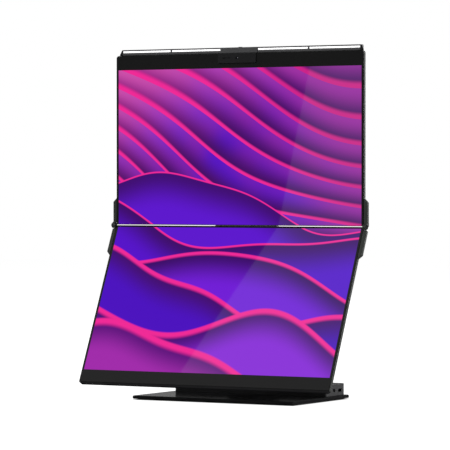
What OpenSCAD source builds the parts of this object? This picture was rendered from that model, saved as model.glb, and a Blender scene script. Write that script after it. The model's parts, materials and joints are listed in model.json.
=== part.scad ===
// Dual stacked monitor: two screens that fold on side hinges, carried by a neck on a base with a hub.
// A light bar and a camera pod sit on the upper screen.
// Millimetres. +X is right as seen from the front, +Y is back, +Z is up.
// The origin is on the table, at the middle of the object's footprint.

/* [Screens] */
// Width of the picture on each screen
screen_w = 527.04; // [480:0.01:600]
// Height of the picture on each screen
screen_h = 296.46; // [270:0.01:340]
// Black border at each side of the picture
side_border = 4.85; // [3:0.01:10]
// Black border between the picture and the hinge edge
hinge_border = 1.13; // [1.1:0.01:4]
// Bezel above the upper picture
top_bezel = 27.7; // [24:0.1:40]
// Chin below the lower picture
chin = 28.3; // [26:0.1:40]
// Thickness of a screen at its edges
screen_t = 8.6; // [8:0.1:14]
// Radius of the corners away from the hinge
corner_r = 5; // [2:0.5:10]
// Radius of the corners beside the hinge
hinge_corner_r = 2; // [1:0.5:4]
// Rim of the shell that shows round the glass
rim = 0.7; // [0.5:0.1:1]
// Thickness of the shell's rear wall
floor_t = 1.2; // [1:0.1:2]
// Height of the chin's bottom trim
trim_h = 3.2; // [3:0.1:6]
// How far the trim's bevel cuts back into the front
trim_bevel = 2.4; // [1:0.1:4]
// Lean of the lower screen from upright
lower_tilt = 24.85; // [20:0.05:30]

/* [Panel layers] */
// Cover glass
glass_t = 0.8; // [0.6:0.1:1.5]
// Liquid crystal cell
cell_t = 1.2; // [0.8:0.1:1.6]
// Steel plate behind the light guide
plate_t = 1; // [0.6:0.1:1.4]
// Play between stacked layers
layer_gap = 0.1; // [0.05:0.05:0.15]
// How far the panel runs past the picture at the sides and the far edge
panel_margin = 2; // [1:0.1:2.4]
// How far it runs past the picture at the hinge edge
hinge_margin = 0.3; // [0.1:0.1:0.4]
// LED strip, thickness across the light guide's edge
led_strip_t = 1; // [0.6:0.1:2]

/* [Fold hinge] */
// Height of the chin's lowest edge above the table
chin_clear = 27; // [18:0.1:80]
// How far the upper glass lies in front of the base's middle
glass_forward = 14.05; // [5:0.05:25]
// How far the fold axis lies in front of the glass
pivot_out = 2.1; // [2.1:0.1:6]
// Distance from the fold axis's level up to the upper screen's edge
upper_edge = 1.4; // [0.6:0.1:3]
// Distance from that level down to the lower screen's edge, less than 0 when the edge is above it
lower_edge = -1.1; // [-1.1:0.1:3]
// Radius of the hinge knuckles
knuckle_r = 5.4; // [4:0.1:8]
// How far the arms stand out from the screens' sides
arm_out = 7.6; // [6:0.1:12]
// Depth of an arm from front to back
arm_d = 6.7; // [5:0.1:8.5]
// Straight length of an upper arm's outer face from the axis
upper_arm_len = 45; // [30:0.5:80]
// Straight length of a lower arm's outer face from the axis
lower_arm_len = 54.5; // [30:0.5:80]
// Radius of the fold pin
pin_r = 2; // [1.5:0.1:3]
// Radius of the fold pin's head
pin_head_r = 4.3; // [3:0.1:5]
// Thickness of the fold pin's head
pin_head_t = 1.1; // [0.6:0.1:2]
// Radial running clearance of the pins and of the tilt axle
pin_clear = 0.05; // [0.02:0.01:0.1]
// Thickness of the friction washer between two knuckles
washer_t = 0.4; // [0.3:0.1:1]

/* [Tilt hinge] */
// How far the tilt axis lies below the fold axis
tilt_drop = 18.8; // [16:0.1:30]
// How far the tilt axis lies behind the upper glass
tilt_back = 36; // [34:0.5:50]
// Radius of the neck's head
head_r = 20; // [16:0.5:24]
// Width of the neck's head
head_w = 104; // [80:1:140]
// Width of each ear of the tilt bracket
ear_w = 14; // [12:0.5:20]
// Play between the head and an ear
ear_gap = 0.4; // [0.3:0.1:1]
// Radius of the tilt axle
axle_r = 6; // [4:0.5:8]
// Radius of the pockets for the axle's head, springs and nut
ear_pocket_r = 12.5; // [11:0.5:14]
// Depth of those pockets
ear_pocket_d = 9.5; // [8:0.5:11]
// Thickness of the bracket's plate
bracket_t = 3; // [2:0.5:5]
// Where the bracket's plate starts, from the fold axis
bracket_low = 18; // [12:1:24]
// Height of the bracket's plate
bracket_h = 68; // [50:1:90]

/* [Rear covers] */
// Width of a rear cover
cover_w = 300; // [220:5:400]
// Height of a rear cover
cover_h = 130; // [100:5:150]
// Depth of a rear cover
cover_d = 12; // [10:0.5:18]
// Wall of a rear cover
cover_wall = 1.8; // [1.4:0.1:2.5]
// Where the upper cover starts, from the fold axis
upper_cover_low = 70; // [60:1:120]
// Where the lower cover starts, from the fold axis
lower_cover_low = 112; // [100:1:150]
// Radius of the cover screws
cover_screw_r = 1.5; // [1.2:0.1:2]
// Distance from a cover's side to its menu button
menu_in = 30; // [24:1:60]
// Height of the menu button above the cover's start
menu_up = 42; // [30:1:80]
// Vent slots in a cover
vents = 26; // [10:1:26]
// Spacing of the vent slots
vent_pitch = 8; // [5:0.5:8]
// Length of a vent slot
vent_len = 18; // [10:1:20]
// Width of a vent slot
vent_w = 2.4; // [1.5:0.1:3]

/* [Light bar] */
// How far each end of the bar's foot stays inside the screen's side
bar_inset = 4.2; // [1:0.1:20]
// How much the bar's ends lean in
bar_end_lean = 4.3; // [0:0.1:8]
// How much the bar's ends draw in towards the back
bar_end_draw = 4.9; // [0:0.1:6]
// Height of the bar
bar_h = 10.5; // [8:0.1:16]
// Dark groove between the bezel and the bar
bar_groove = 1.1; // [0.6:0.1:2]
// How far the bar's front is set back from the glass
bar_back = 5.6; // [4:0.1:7]
// Depth of the bar
bar_d = 14; // [10:0.5:20]
// How much the bar's front leans back
bar_lean = 1.1; // [0:0.1:3]
// How far the dark foot under the bar is set in
bar_foot_in = 1.5; // [0.5:0.1:3]
// Thickness of the lip behind the screen
bar_lip_t = 2; // [1:0.1:3]
// How far that lip reaches down
bar_lip_h = 16; // [10:0.5:24]
// Height of the light slots
slot_h = 3.5; // [3.2:0.1:5]
// Wall under the light slots
slot_up = 4.6; // [2:0.1:5]
// Wall between two light slots
slot_wall = 3.6; // [2:0.1:8]
// Length of a bar's end cap at its foot
bar_cap = 6.5; // [5:0.1:12]
// Half width of the centre housing
centre_half = 40.3; // [30:0.1:60]
// Walls of the centre housing
centre_wall = 1.6; // [1.2:0.1:2.5]
// Thickness of a diffuser
diffuser_t = 1.5; // [1:0.1:3]
// LEDs behind each diffuser
leds_each = 8; // [4:1:14]

/* [Camera] */
// Half width of the camera pod
pod_half = 41; // [36:0.5:60]
// Height of the camera pod
pod_h = 18.4; // [16:0.1:22]
// How far the pod stands in front of the glass
pod_out = 3; // [2:0.1:4]
// Front wall of the pod
pod_wall = 1.2; // [1:0.1:2]
// Radius of the window in the pod's front
lens_window_r = 2.4; // [1.5:0.1:3]
// Travel of the privacy shutter
shutter_travel = 14; // [12:0.5:14]
// Length of the shutter's blade
shutter_len = 30; // [20:0.5:30]

/* [Base] */
// Width of the base plate
base_w = 346.4; // [340:0.1:420]
// Depth of the base plate
base_d = 226; // [220:0.5:280]
// Thickness of the base plate
base_t = 6.5; // [5:0.5:10]
// Radius of the base plate's corners
base_r = 3.5; // [2:0.5:20]
// How far the feet lift the plate off the table
foot_lift = 1.5; // [1:0.1:4]
// Radius of the rubber feet
foot_r = 9; // [6:0.5:15]
// Distance from the plate's edges to the feet's centres
foot_in = 16; // [12:0.5:30]
// How far the hub stays inside each side of the plate
hub_side = 7.8; // [2:0.05:20]
// Depth of the hub
hub_d = 73.1; // [70:0.1:90]
// Height of the hub above the plate
hub_h = 22; // [22:0.1:30]
// Distance from the plate's rear edge to the hub
hub_in = 6.55; // [3:0.05:12]
// Wall of the hub's shell
hub_wall = 2; // [1.6:0.1:2.5]
// Height of the hub board above the plate
board_up = 5; // [5:0.1:6]
// Thickness of the circuit boards
board_t = 1.6; // [1:0.1:2]
// Depth of the recesses that hold the feet
foot_recess = 0.6; // [0.4:0.1:2]
// Radius of the hub's screws
hub_screw_r = 1.5; // [1.2:0.1:2]
// Length of a hub screw above the plate
hub_screw_len = 14; // [8:0.5:16]

/* [Neck] */
// Distance from the hub's front to the middle of the neck's foot
neck_in = 18.65; // [18:0.05:26]
// Width of the neck
neck_w = 100; // [80:1:100]
// Depth of the neck
neck_d = 24; // [20:0.5:26]
// Width of the neck's foot flange
flange_w = 118; // [110:1:120]
// Thickness of the neck's foot flange
flange_t = 5; // [3:0.5:8]
// Width of the cable channel in the neck
channel_w = 64; // [40:1:70]
// Depth of the cable channel in the neck
channel_d = 15; // [8:0.5:18]
// Thickness of the neck's rear cover
neck_cover_t = 2; // [1.5:0.1:4]
// Radius of the bolts that hold the neck
neck_bolt_r = 2.5; // [2:0.1:4]
// Length of a neck bolt above the plate
neck_bolt_len = 12; // [8:0.5:16]

/* [Buttons] */
// Radius of the round buttons
button_r = 4; // [3:0.1:5]
// Travel of a button
button_travel = 0.8; // [0.5:0.1:1.5]
// Gap round a button
button_gap = 0.3; // [0.3:0.05:0.5]

/* [Hidden] */
$fn = 64;
seat = 0.1;
half_w = screen_w / 2 + side_border;
front = pivot_out;
back = front + screen_t;
floor_y = back - floor_t;
guide_t = screen_t - floor_t - glass_t - cell_t - plate_t - 4 * layer_gap;
picture_low = max(upper_edge, lower_edge) + hinge_border;
picture_high = picture_low + screen_h;
upper_end = picture_high + top_bezel;
lower_end = picture_high + chin;
cell_y = front + glass_t + layer_gap;
guide_y = cell_y + cell_t + layer_gap;
plate_y = guide_y + guide_t + layer_gap;
panel_high = picture_high + panel_margin;

lower_glass_end = lower_end - trim_h;

base_top = foot_lift + base_t;
// The footprint runs from the chin's front edge to the plate's rear edge
chin_reach = (lower_glass_end + seat) * sin(lower_tilt) - front * cos(lower_tilt);
base_y = (chin_reach + glass_forward + pivot_out - base_d / 2) / 2;
fold_y = base_y - glass_forward - pivot_out;
fold_z = chin_clear + back * sin(lower_tilt) + lower_end * cos(lower_tilt);
tilt_y = fold_y + pivot_out + tilt_back;
tilt_z = fold_z - tilt_drop;
hub_w = base_w - 2 * hub_side;
hub_back = base_y + base_d / 2 - hub_in;
hub_front = hub_back - hub_d;
hub_top = base_top + hub_h;
board_z = base_top + board_up;
port_z = board_z + board_t + seat;
neck_y = hub_front + neck_in;

// Tilt axis as the lower screen's own frame sees it
tilt_dy = tilt_y - fold_y;
tilt_dz = tilt_z - fold_z;
ear_y = tilt_dy * cos(lower_tilt) - tilt_dz * sin(lower_tilt);
ear_z = -tilt_dy * sin(lower_tilt) - tilt_dz * cos(lower_tilt);
ear_in = head_w / 2 + ear_gap;
ear_out = ear_in + ear_w;
ear_floor = ear_out - ear_pocket_d;
bracket_y = back + seat;
bracket_high = bracket_low + bracket_h;
bracket_screw_r = 2;

menu_x = cover_w / 2 - menu_in;
cover_back = back + cover_d;
post_len = 3.9;

neck_rise = tilt_z - base_top;
neck_lean = atan2(neck_y - tilt_y, neck_rise);
neck_len = sqrt(pow(neck_y - tilt_y, 2) + pow(neck_rise, 2));

arm_in = half_w + seat;
arm_x = half_w + arm_out;
knuckle_mid = (arm_in + arm_x) / 2;
knuckle_clear = 0.3;
washer_play = 0.05;
knuckle_gap = washer_t / 2 + washer_play;

bar_half = half_w - bar_inset;
bar_cap_x = bar_half - bar_cap;
bar_low = upper_end + bar_groove;
bar_high = bar_low + bar_h;
bar_front = front + bar_back;
bar_rear = bar_front + bar_d;
centre_front = bar_front - 1;
bar_roof = 2;
lamp_button_y = (centre_front + bar_rear) / 2;
lens_z = upper_end - pod_h / 2 + 0.2;
pod_face = front - pod_out;
thumb_x = -shutter_len;
slot_start = centre_half + 0.6;
slot_run = (bar_cap_x - 0.5 - slot_start - slot_wall) / 2;
slot_x = [slot_start, slot_start + slot_run + slot_wall];

// Sockets: width, height, depth, wall, thickness of the tongue
usb_a = [13.4, 5.7, 14, 0.4, 1.6];
usb_c = [9.4, 3.4, 8, 0.4, 0.7];
hdmi = [15.4, 5.5, 12, 0.5, 1.2];
lan = [16, 12, 18, 1.9, 0];
port_gap = 0.2;
jack_r = 1.8;
jack_nose_r = 2.9;
jack_up = 3.5;

// Sockets and bosses keep their distances from the hub's ends and back
side_jack_y = hub_back - 42.05;
side_usb_y = hub_back - 18.25;
hub_end = hub_w / 2;
power_x = 22.65 - hub_end;
rear_usb_c_x = power_x + 24;
hdmi_x = [rear_usb_c_x + 24, rear_usb_c_x + 50];
rear_usb_x = [hub_end - 64.65, hub_end - 42.65];
lan_x = hub_end - 96.65;
power_button_x = hub_end - 14.65;
power_button_z = base_top + 12;
hub_boss = [
    [22.65 - hub_end, hub_front + 10.65], [hub_end - 22.65, hub_front + 10.65],
    [-30, hub_back - 8.45], [30, hub_back - 8.45]
];

// Shapes that repeat

module block(low, high) translate(low) cube(high - low);

module rod_x(x0, x1, r) translate([x0, 0, 0]) rotate([0, 90, 0]) cylinder(h = x1 - x0, r = r);

module rod_y(y0, y1, r) translate([0, y0, 0]) rotate([-90, 0, 0]) cylinder(h = y1 - y0, r = r);

module rod_z(z0, z1, r) translate([0, 0, z0]) cylinder(h = z1 - z0, r = r);

// A flat shape in X and Z, given its depth from y0 to y1
module deep(y0, y1) translate([0, y1, 0]) rotate([90, 0, 0]) linear_extrude(y1 - y0) children();

// A flat shape in Y and Z, run along X from x0 to x1
module along_x(x0, x1) translate([x0, 0, 0]) rotate([90, 0, 90]) linear_extrude(x1 - x0) children();

module both_sides() for (side = [0, 1]) mirror([side, 0, 0]) children();

module round_slab(half_x, half_y, z0, z1, r) {
    block([-half_x + r, -half_y, z0], [half_x - r, half_y, z1]);
    block([-half_x, -half_y + r, z0], [half_x, half_y - r, z1]);
    for (x = [-1, 1], y = [-1, 1])
        translate([x * (half_x - r), y * (half_y - r), 0]) rod_z(z0, z1, r);
}

// Outline of a screen in X and Z from its hinge edge to its far end, with small corners at the first
module screen_outline(edge, end, inset) {
    x = half_w - inset;
    low = edge + inset;
    high = end - inset;
    r0 = max(hinge_corner_r - inset, 0.5);
    r1 = max(corner_r - inset, 0.5);
    translate([-x, low + r0]) square([2 * x, high - low - r0 - r1]);
    translate([-x + r0, low]) square([2 * (x - r0), high - low - r1]);
    translate([-x + r1, low + r0]) square([2 * (x - r1), high - low - r0]);
    for (side = [-1, 1]) {
        translate([side * (x - r0), low + r0]) circle(r0);
        translate([side * (x - r1), high - r1]) circle(r1);
    }
}

module upper_frame() translate([0, fold_y, fold_z]) children();

// The lower screen is drawn like the upper one, turned over and leant back
module lower_frame()
    translate([0, fold_y, fold_z]) rotate([-lower_tilt, 0, 0]) mirror([0, 0, 1]) children();

module neck_frame() translate([0, neck_y, base_top]) rotate([neck_lean, 0, 0]) children();

module tilt_frame() translate([0, tilt_y, tilt_z]) children();

// The end of a line from p that touches a circle, on its left (way 1) or right (way -1)
function tangent_point(p, c, r, way) =
    let (d = norm(c - p), a = atan2(c[1] - p[1], c[0] - p[0]) + way * asin(r / d))
    p + sqrt(d * d - r * r) * [cos(a), sin(a)];

// A round button: a cap through a wall and a flange behind it, pressed along -Y. Its wall's outer
// face is at y = 0.
module button_y(wall) {
    flange_y = -wall - 0.2;
    rod_y(flange_y, button_travel, button_r);
    rod_y(flange_y - 0.8, flange_y, button_r + 1);
}

// Layers that both screens share

module picture_layer(y0, y1)
    deep(y0, y1) translate([-screen_w / 2 - panel_margin, picture_low - hinge_margin])
        square([screen_w + 2 * panel_margin, screen_h + panel_margin + hinge_margin]);

module led_strip_at(edge) {
    half = screen_w / 2 - 8;
    block([-half, guide_y + 0.3, edge], [half, guide_y + guide_t - 0.3, edge + led_strip_t]);
}

module cover_screw_places(low) for (x = [-1, 1], z = [10, cover_h - 10])
    translate([x * (cover_w / 2 - 10), 0, low + z]) children();

module board_post_places(low) for (x = [-1, 1], z = [22, cover_h - 22])
    translate([x * (cover_w / 2 - 30), 0, low + z]) children();

module screen_shell(edge, end, pocket_end, cover_low) {
    difference() {
        deep(front, back) screen_outline(edge, end, 0);
        deep(front - 1, floor_y) intersection() {
            screen_outline(edge, end, rim);
            translate([-half_w, edge]) square([2 * half_w, pocket_end - edge]);
        }
        // window for the board's leads, behind the rear cover
        block([-40, floor_y - 1, cover_low + 8], [40, back + 1, cover_low + 16]);
    }
    cover_screw_places(cover_low) difference() {
        rod_y(back - 0.5, cover_back - cover_wall, cover_screw_r + 2.1);
        rod_y(back, cover_back, cover_screw_r + seat);
    }
    board_post_places(cover_low) rod_y(back - 0.5, back + post_len, 3);
}

module circuit_board(low) {
    y = back + post_len + seat;
    half = cover_w / 2 - 20;
    // x, z, width, height and thickness of each chip
    block([-half, y, low + 14], [half, y + board_t, low + cover_h - 14]);
    for (chip = [[-70, 40, 22, 22, 2.2], [10, 30, 30, 30, 1.8], [70, 62, 16, 24, 3], [-20, 74, 46, 10, 4]])
        block([chip[0], y + board_t - 0.2, low + chip[1]],
              [chip[0] + chip[2], y + board_t + chip[4], low + chip[1] + chip[3]]);
}

module rear_cover(low) {
    inside = cover_back - cover_wall;
    difference() {
        deep(back + seat, cover_back) round_rect(-cover_w / 2, low, cover_w / 2, low + cover_h, 6);
        deep(back, inside)
            round_rect(-cover_w / 2 + cover_wall, low + cover_wall, cover_w / 2 - cover_wall,
                       low + cover_h - cover_wall, 4);
        cover_screw_places(low) {
            rod_y(back, cover_back + 1, cover_screw_r + 0.3);
            rod_y(cover_back - 0.9, cover_back + 1, cover_screw_r + 1.6);
        }
        for (i = [0 : vents - 1])
            translate([(i - (vents - 1) / 2) * vent_pitch, 0, low + cover_h - vent_len - 16])
                block([-vent_w / 2, inside - 1, 0], [vent_w / 2, cover_back + 1, vent_len]);
        translate([menu_x, 0, low + menu_up]) rod_y(inside - 1, cover_back + 1, button_r + button_gap);
    }
}

module round_rect(x0, z0, x1, z1, r) {
    translate([x0, z0 + r]) square([x1 - x0, z1 - z0 - 2 * r]);
    translate([x0 + r, z0]) square([x1 - x0 - 2 * r, z1 - z0]);
    for (x = [x0 + r, x1 - r], z = [z0 + r, z1 - r]) translate([x, z]) circle(r);
}

module cover_screws(low) cover_screw_places(low) {
    rod_y(cover_back - 0.8, cover_back - 0.1, cover_screw_r + 1.4);
    rod_y(cover_back - 8, cover_back - 0.8, cover_screw_r);
}

module menu_button(low) translate([menu_x, cover_back, low + menu_up]) button_y(cover_wall);

// Side hinge arms. An arm whose knuckle is outside pairs with one whose knuckle is inside.
module arm(length, knuckle_outside) {
    x0 = knuckle_outside ? knuckle_mid + knuckle_gap : arm_in;
    x1 = knuckle_outside ? arm_x : knuckle_mid - knuckle_gap;
    clear_r = knuckle_r + knuckle_clear;
    difference() {
        union() {
            deep(front, front + arm_d)
                polygon([[arm_in, clear_r], [arm_x, clear_r], [arm_x, length],
                         [arm_in, length + arm_out]]);
            along_x(x0, x1) {
                circle(knuckle_r);
                square([front + arm_d, clear_r + 1]);
            }
        }
        rod_x(arm_in - 1, arm_x + 1, pin_r + pin_clear);
    }
}

// Base

module foot_places() for (x = [-1, 1], y = [-1, 1])
    translate([x * (base_w / 2 - foot_in), base_y + y * (base_d / 2 - foot_in), 0]) children();

module hub_screw_places() for (p = hub_boss) translate([p[0], p[1], 0]) children();

module neck_bolt_places() for (x = [-36, 36], y = [-6, 6]) translate([x, neck_y + y, 0]) children();

module base_plate() color([0.16, 0.16, 0.17]) difference() {
    translate([0, base_y, 0]) round_slab(base_w / 2, base_d / 2, foot_lift, base_top, base_r);
    foot_places() rod_z(0, foot_lift + foot_recess, foot_r + 0.2);
    hub_screw_places() {
        rod_z(0, base_top + 1, hub_screw_r + 0.3);
        rod_z(0, foot_lift + 2.5, hub_screw_r + 2);
    }
    neck_bolt_places() {
        rod_z(0, base_top + 1, neck_bolt_r + 0.3);
        rod_z(0, foot_lift + 3, neck_bolt_r + 2.8);
    }
}

module base_feet() color([0.06, 0.06, 0.06]) foot_places() rod_z(0, foot_lift + foot_recess - seat, foot_r);

module hub_shell() color([0.25, 0.25, 0.26]) {
    half = hub_w / 2;
    mid_y = (hub_front + hub_back) / 2;
    difference() {
        translate([0, mid_y, 0]) round_slab(half, hub_d / 2, base_top, hub_top, 3);
        translate([0, mid_y, 0])
            round_slab(half - hub_wall, hub_d / 2 - hub_wall, base_top - 1, hub_top - hub_wall, 1.5);
        neck_blank(0.5);
        // sockets on the right side
        translate([half, side_usb_y, port_z]) rotate([0, 0, -90]) port_window(usb_a);
        translate([half, side_jack_y, port_z + jack_up]) rod_x(-4, 1, jack_nose_r + 0.3);
        // sockets and button at the rear
        for (x = rear_usb_x) translate([x, hub_back, port_z]) port_window(usb_a);
        for (x = hdmi_x) translate([x, hub_back, port_z]) port_window(hdmi);
        translate([lan_x, hub_back, port_z]) port_window(lan);
        for (x = [rear_usb_c_x, power_x]) translate([x, hub_back, port_z]) port_window(usb_c);
        translate([power_button_x, hub_back - 4, power_button_z]) rod_y(0, 5, button_r + button_gap);
    }
    hub_screw_places() difference() {
        union() {
            rod_z(port_z, hub_top - hub_wall + 0.5, hub_screw_r + 3);
            rod_z(base_top + seat, port_z + 0.5, hub_screw_r + 1.5);
        }
        rod_z(base_top, base_top + hub_screw_len + 2, hub_screw_r + seat);
    }
}

module hub_board() color([0.05, 0.22, 0.12]) difference() {
    block([-hub_w / 2 + 5, hub_front + 5, board_z], [hub_w / 2 - 5, hub_back - 6, board_z + board_t]);
    block([-flange_w / 2 - 2, hub_front, board_z - 1],
          [flange_w / 2 + 2, neck_y + neck_d / 2 + 8, board_z + board_t + 1]);
    hub_screw_places() rod_z(board_z - 1, board_z + board_t + 1, hub_screw_r + 1.8);
}

// A socket that faces +Y: a metal sleeve with its mouth at y = 0 and a tongue inside
module socket_y(size) {
    half = size[0] / 2;
    high = size[1];
    length = size[2];
    wall = size[3];
    tongue_t = size[4];
    difference() {
        block([-half, -length, 0], [half, 0, high]);
        block([-half + wall, -length + 2, wall], [half - wall, 1, high - wall]);
    }
    if (tongue_t > 0)
        block([-half + wall + 1, -length + 1, (high - tongue_t) / 2],
              [half - wall - 1, -1.5, (high + tongue_t) / 2]);
}

// The hole in a wall that such a socket looks out of
module port_window(size)
    block([-size[0] / 2 - port_gap, -4, -port_gap], [size[0] / 2 + port_gap, 1, size[1] + port_gap]);

module rear_port(x, size) translate([x, hub_back - 0.3, port_z]) socket_y(size);

module side_usb_a_port() color([0.6, 0.6, 0.62])
    translate([hub_w / 2 - 0.3, side_usb_y, port_z]) rotate([0, 0, -90]) socket_y(usb_a);

module side_audio_jack() color([0.08, 0.08, 0.08])
    translate([hub_w / 2, side_jack_y, port_z + jack_up]) difference() {
        union() {
            block([-14, -jack_up, -jack_up], [-hub_wall - 0.3, jack_up, jack_up]);
            rod_x(-3, -0.2, jack_nose_r);
        }
        rod_x(-13, 1, jack_r);
    }

module rear_usb_a_ports() color([0.6, 0.6, 0.62]) for (x = rear_usb_x) rear_port(x, usb_a);

module rear_usb_c_port() color([0.6, 0.6, 0.62]) rear_port(rear_usb_c_x, usb_c);

module rear_hdmi_ports() color([0.6, 0.6, 0.62]) for (x = hdmi_x) rear_port(x, hdmi);

module rear_lan_port() color([0.55, 0.55, 0.57]) rear_port(lan_x, lan);

module power_inlet() color([0.6, 0.6, 0.62]) rear_port(power_x, usb_c);

module hub_screws() color([0.5, 0.5, 0.52]) hub_screw_places() {
    rod_z(foot_lift + 0.3, foot_lift + 2.3, hub_screw_r + 1.7);
    rod_z(foot_lift + 2.3, base_top + hub_screw_len, hub_screw_r);
}

module power_button() color([0.12, 0.12, 0.12]) translate([power_button_x, hub_back, power_button_z])
    button_y(hub_wall);

// Neck

module neck_blank(grow) {
    half = neck_w / 2 + grow;
    deep_half = neck_d / 2 + grow;
    neck_frame() block([-half, -deep_half, -5], [half, deep_half, neck_len]);
}

module neck_column() color([0.13, 0.13, 0.14]) difference() {
    union() {
        intersection() {
            neck_blank(0);
            block([-neck_w, hub_front - fold_z, base_top], [neck_w, hub_back + fold_z, 2 * fold_z]);
        }
        tilt_frame() rod_x(-head_w / 2, head_w / 2, head_r);
        translate([0, neck_y, 0]) round_slab(flange_w / 2, neck_d / 2 + 3, base_top, base_top + flange_t, 3);
    }
    tilt_frame() rod_x(-head_w, head_w, axle_r + pin_clear);
    neck_frame() {
        block([-channel_w / 2, neck_d / 2 - channel_d, hub_h - 6],
              [channel_w / 2, neck_d, neck_len - head_r - 14]);
        block([-channel_w / 2 - 5, neck_d / 2 - neck_cover_t, hub_h + 4],
              [channel_w / 2 + 5, neck_d, neck_len - head_r - 8]);
    }
    neck_bolt_places() rod_z(0, base_top + neck_bolt_len + 2, neck_bolt_r + 0.05);
}

module neck_cover() color([0.18, 0.18, 0.19]) neck_frame()
    block([-channel_w / 2 - 4.8, neck_d / 2 - neck_cover_t + seat, hub_h + 4.2],
          [channel_w / 2 + 4.8, neck_d / 2, neck_len - head_r - 8.2]);

module neck_bolts() color([0.5, 0.5, 0.52]) neck_bolt_places() {
    rod_z(foot_lift + 0.3, foot_lift + 2.9, neck_bolt_r + 2.3);
    rod_z(foot_lift + 2.9, base_top + neck_bolt_len, neck_bolt_r);
}

// Tilt hinge

module ear_outline() {
    centre = [ear_y, ear_z];
    p0 = [bracket_y, bracket_low];
    p1 = [bracket_y, bracket_high];
    circle_at(centre, head_r);
    polygon([p0, tangent_point(p0, centre, head_r, -1), centre, tangent_point(p1, centre, head_r, 1), p1]);
}

module circle_at(c, r) translate(c) circle(r);

module bracket_screw_places() for (x = [-1, 1], z = [12, bracket_h - 12])
    translate([x * (ear_in - 12), 0, bracket_low + z]) children();

module tilt_bracket() color([0.2, 0.2, 0.21]) lower_frame() difference() {
    union() {
        both_sides() along_x(ear_in, ear_out) ear_outline();
        block([-ear_out, bracket_y, bracket_low], [ear_out, bracket_y + bracket_t, bracket_high]);
    }
    translate([0, ear_y, ear_z]) {
        rod_x(-ear_out - 1, ear_out + 1, axle_r + pin_clear);
        both_sides() rod_x(ear_floor, ear_out + 1, ear_pocket_r);
    }
    bracket_screw_places() rod_y(bracket_y - 1, bracket_y + bracket_t + 1, bracket_screw_r + seat);
}

module bracket_screws() color([0.5, 0.5, 0.52]) lower_frame() bracket_screw_places() {
    head_y = bracket_y + bracket_t + 0.05;
    rod_y(head_y, head_y + 2.15, bracket_screw_r + 1.6);
    rod_y(bracket_y, head_y, bracket_screw_r);
}

module tilt_axle() color([0.55, 0.55, 0.57]) tilt_frame() {
    rod_x(-ear_floor - 5, ear_out - 2, axle_r);
    rod_x(-ear_floor - 5, -ear_floor - seat, ear_pocket_r - 1.5);
}

module tilt_disc_springs() color([0.5, 0.5, 0.52]) tilt_frame() difference() {
    rod_x(ear_floor + seat, ear_floor + 2.6, ear_pocket_r - 1.5);
    rod_x(ear_floor - 1, ear_out, axle_r + 0.3);
}

module tilt_nut() color([0.55, 0.55, 0.57]) tilt_frame() difference() {
    rod_x(ear_floor + 2.7, ear_out - 2.2, ear_pocket_r - 1.1, $fn = 6);
    rod_x(ear_floor, ear_out, axle_r + pin_clear);
}

module tilt_caps() color([0.14, 0.14, 0.15]) tilt_frame() both_sides()
    rod_x(ear_out - 1.6, ear_out, ear_pocket_r - 0.3);

// Lower screen

module lower_shell() color([0.28, 0.28, 0.29]) lower_frame() {
    difference() {
        screen_shell(lower_edge, lower_end, lower_glass_end - rim, lower_cover_low);
        block([-half_w - 1, front - 1, lower_glass_end], [half_w + 1, back + 1, lower_end + 1]);
    }
}

module lower_glass() color([0.03, 0.03, 0.035]) lower_frame()
    deep(front, front + glass_t) intersection() {
        screen_outline(lower_edge, lower_end, rim + seat);
        translate([-half_w, lower_edge]) square([2 * half_w, lower_glass_end - rim - seat - lower_edge]);
    }

module lower_lcd_cell() color([0.35, 0.1, 0.55]) lower_frame() picture_layer(cell_y, cell_y + cell_t);

module lower_light_guide() color([0.8, 0.85, 0.88]) lower_frame() picture_layer(guide_y, guide_y + guide_t);

module lower_panel_plate() color([0.55, 0.56, 0.58]) lower_frame() picture_layer(plate_y, plate_y + plate_t);

module lower_led_strip() color([0.9, 0.9, 0.8]) lower_frame() led_strip_at(panel_high + seat);

module lower_chin_trim() color([0.2, 0.2, 0.21]) lower_frame() {
    low = lower_glass_end + seat;
    difference() {
        intersection() {
            deep(front, back) screen_outline(lower_edge, lower_end, 0);
            along_x(-half_w - 1, half_w + 1)
                polygon([[front, low], [front + trim_bevel, lower_end], [back, lower_end], [back, low]]);
        }
        // sound slots on the underside
        for (side = [-1, 1], i = [0 : 11])
            translate([side * (150 + i * 5), 0, 0])
                block([-1, front + 4.2, low + 1.2], [1, back - 1.6, lower_end + 1]);
    }
}

module lower_speakers() color([0.1, 0.1, 0.1]) lower_frame() {
    low = panel_high + led_strip_t + 1.5;
    high = lower_glass_end - rim - 0.3;
    for (x = [-210, 140]) block([x, cell_y + 0.2, low], [x + 70, floor_y - 0.2, high]);
}

module lower_main_board() color([0.05, 0.22, 0.12]) lower_frame() circuit_board(lower_cover_low);

module lower_rear_cover() color([0.17, 0.17, 0.18]) lower_frame() rear_cover(lower_cover_low);

module lower_cover_screws() color([0.5, 0.5, 0.52]) lower_frame() cover_screws(lower_cover_low);

module lower_menu_button() color([0.1, 0.1, 0.1]) lower_frame() menu_button(lower_cover_low);

module lower_arm_right() color([0.2, 0.2, 0.2]) lower_frame() arm(lower_arm_len, false);

module lower_arm_left() color([0.2, 0.2, 0.2]) lower_frame() mirror([1, 0, 0]) arm(lower_arm_len, false);

module fold_pins() color([0.25, 0.25, 0.26]) upper_frame() both_sides() {
    rod_x(arm_in + 0.2, arm_x + seat, pin_r);
    rod_x(arm_x + seat, arm_x + pin_head_t, pin_head_r);
}

module fold_washers() color([0.6, 0.6, 0.62]) upper_frame() both_sides() difference() {
    rod_x(knuckle_mid - washer_t / 2, knuckle_mid + washer_t / 2, knuckle_r - 0.6);
    rod_x(knuckle_mid - washer_t, knuckle_mid + washer_t, pin_r + pin_clear);
}

// Upper screen

module upper_arm_right() color([0.2, 0.2, 0.2]) upper_frame() arm(upper_arm_len, true);

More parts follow.
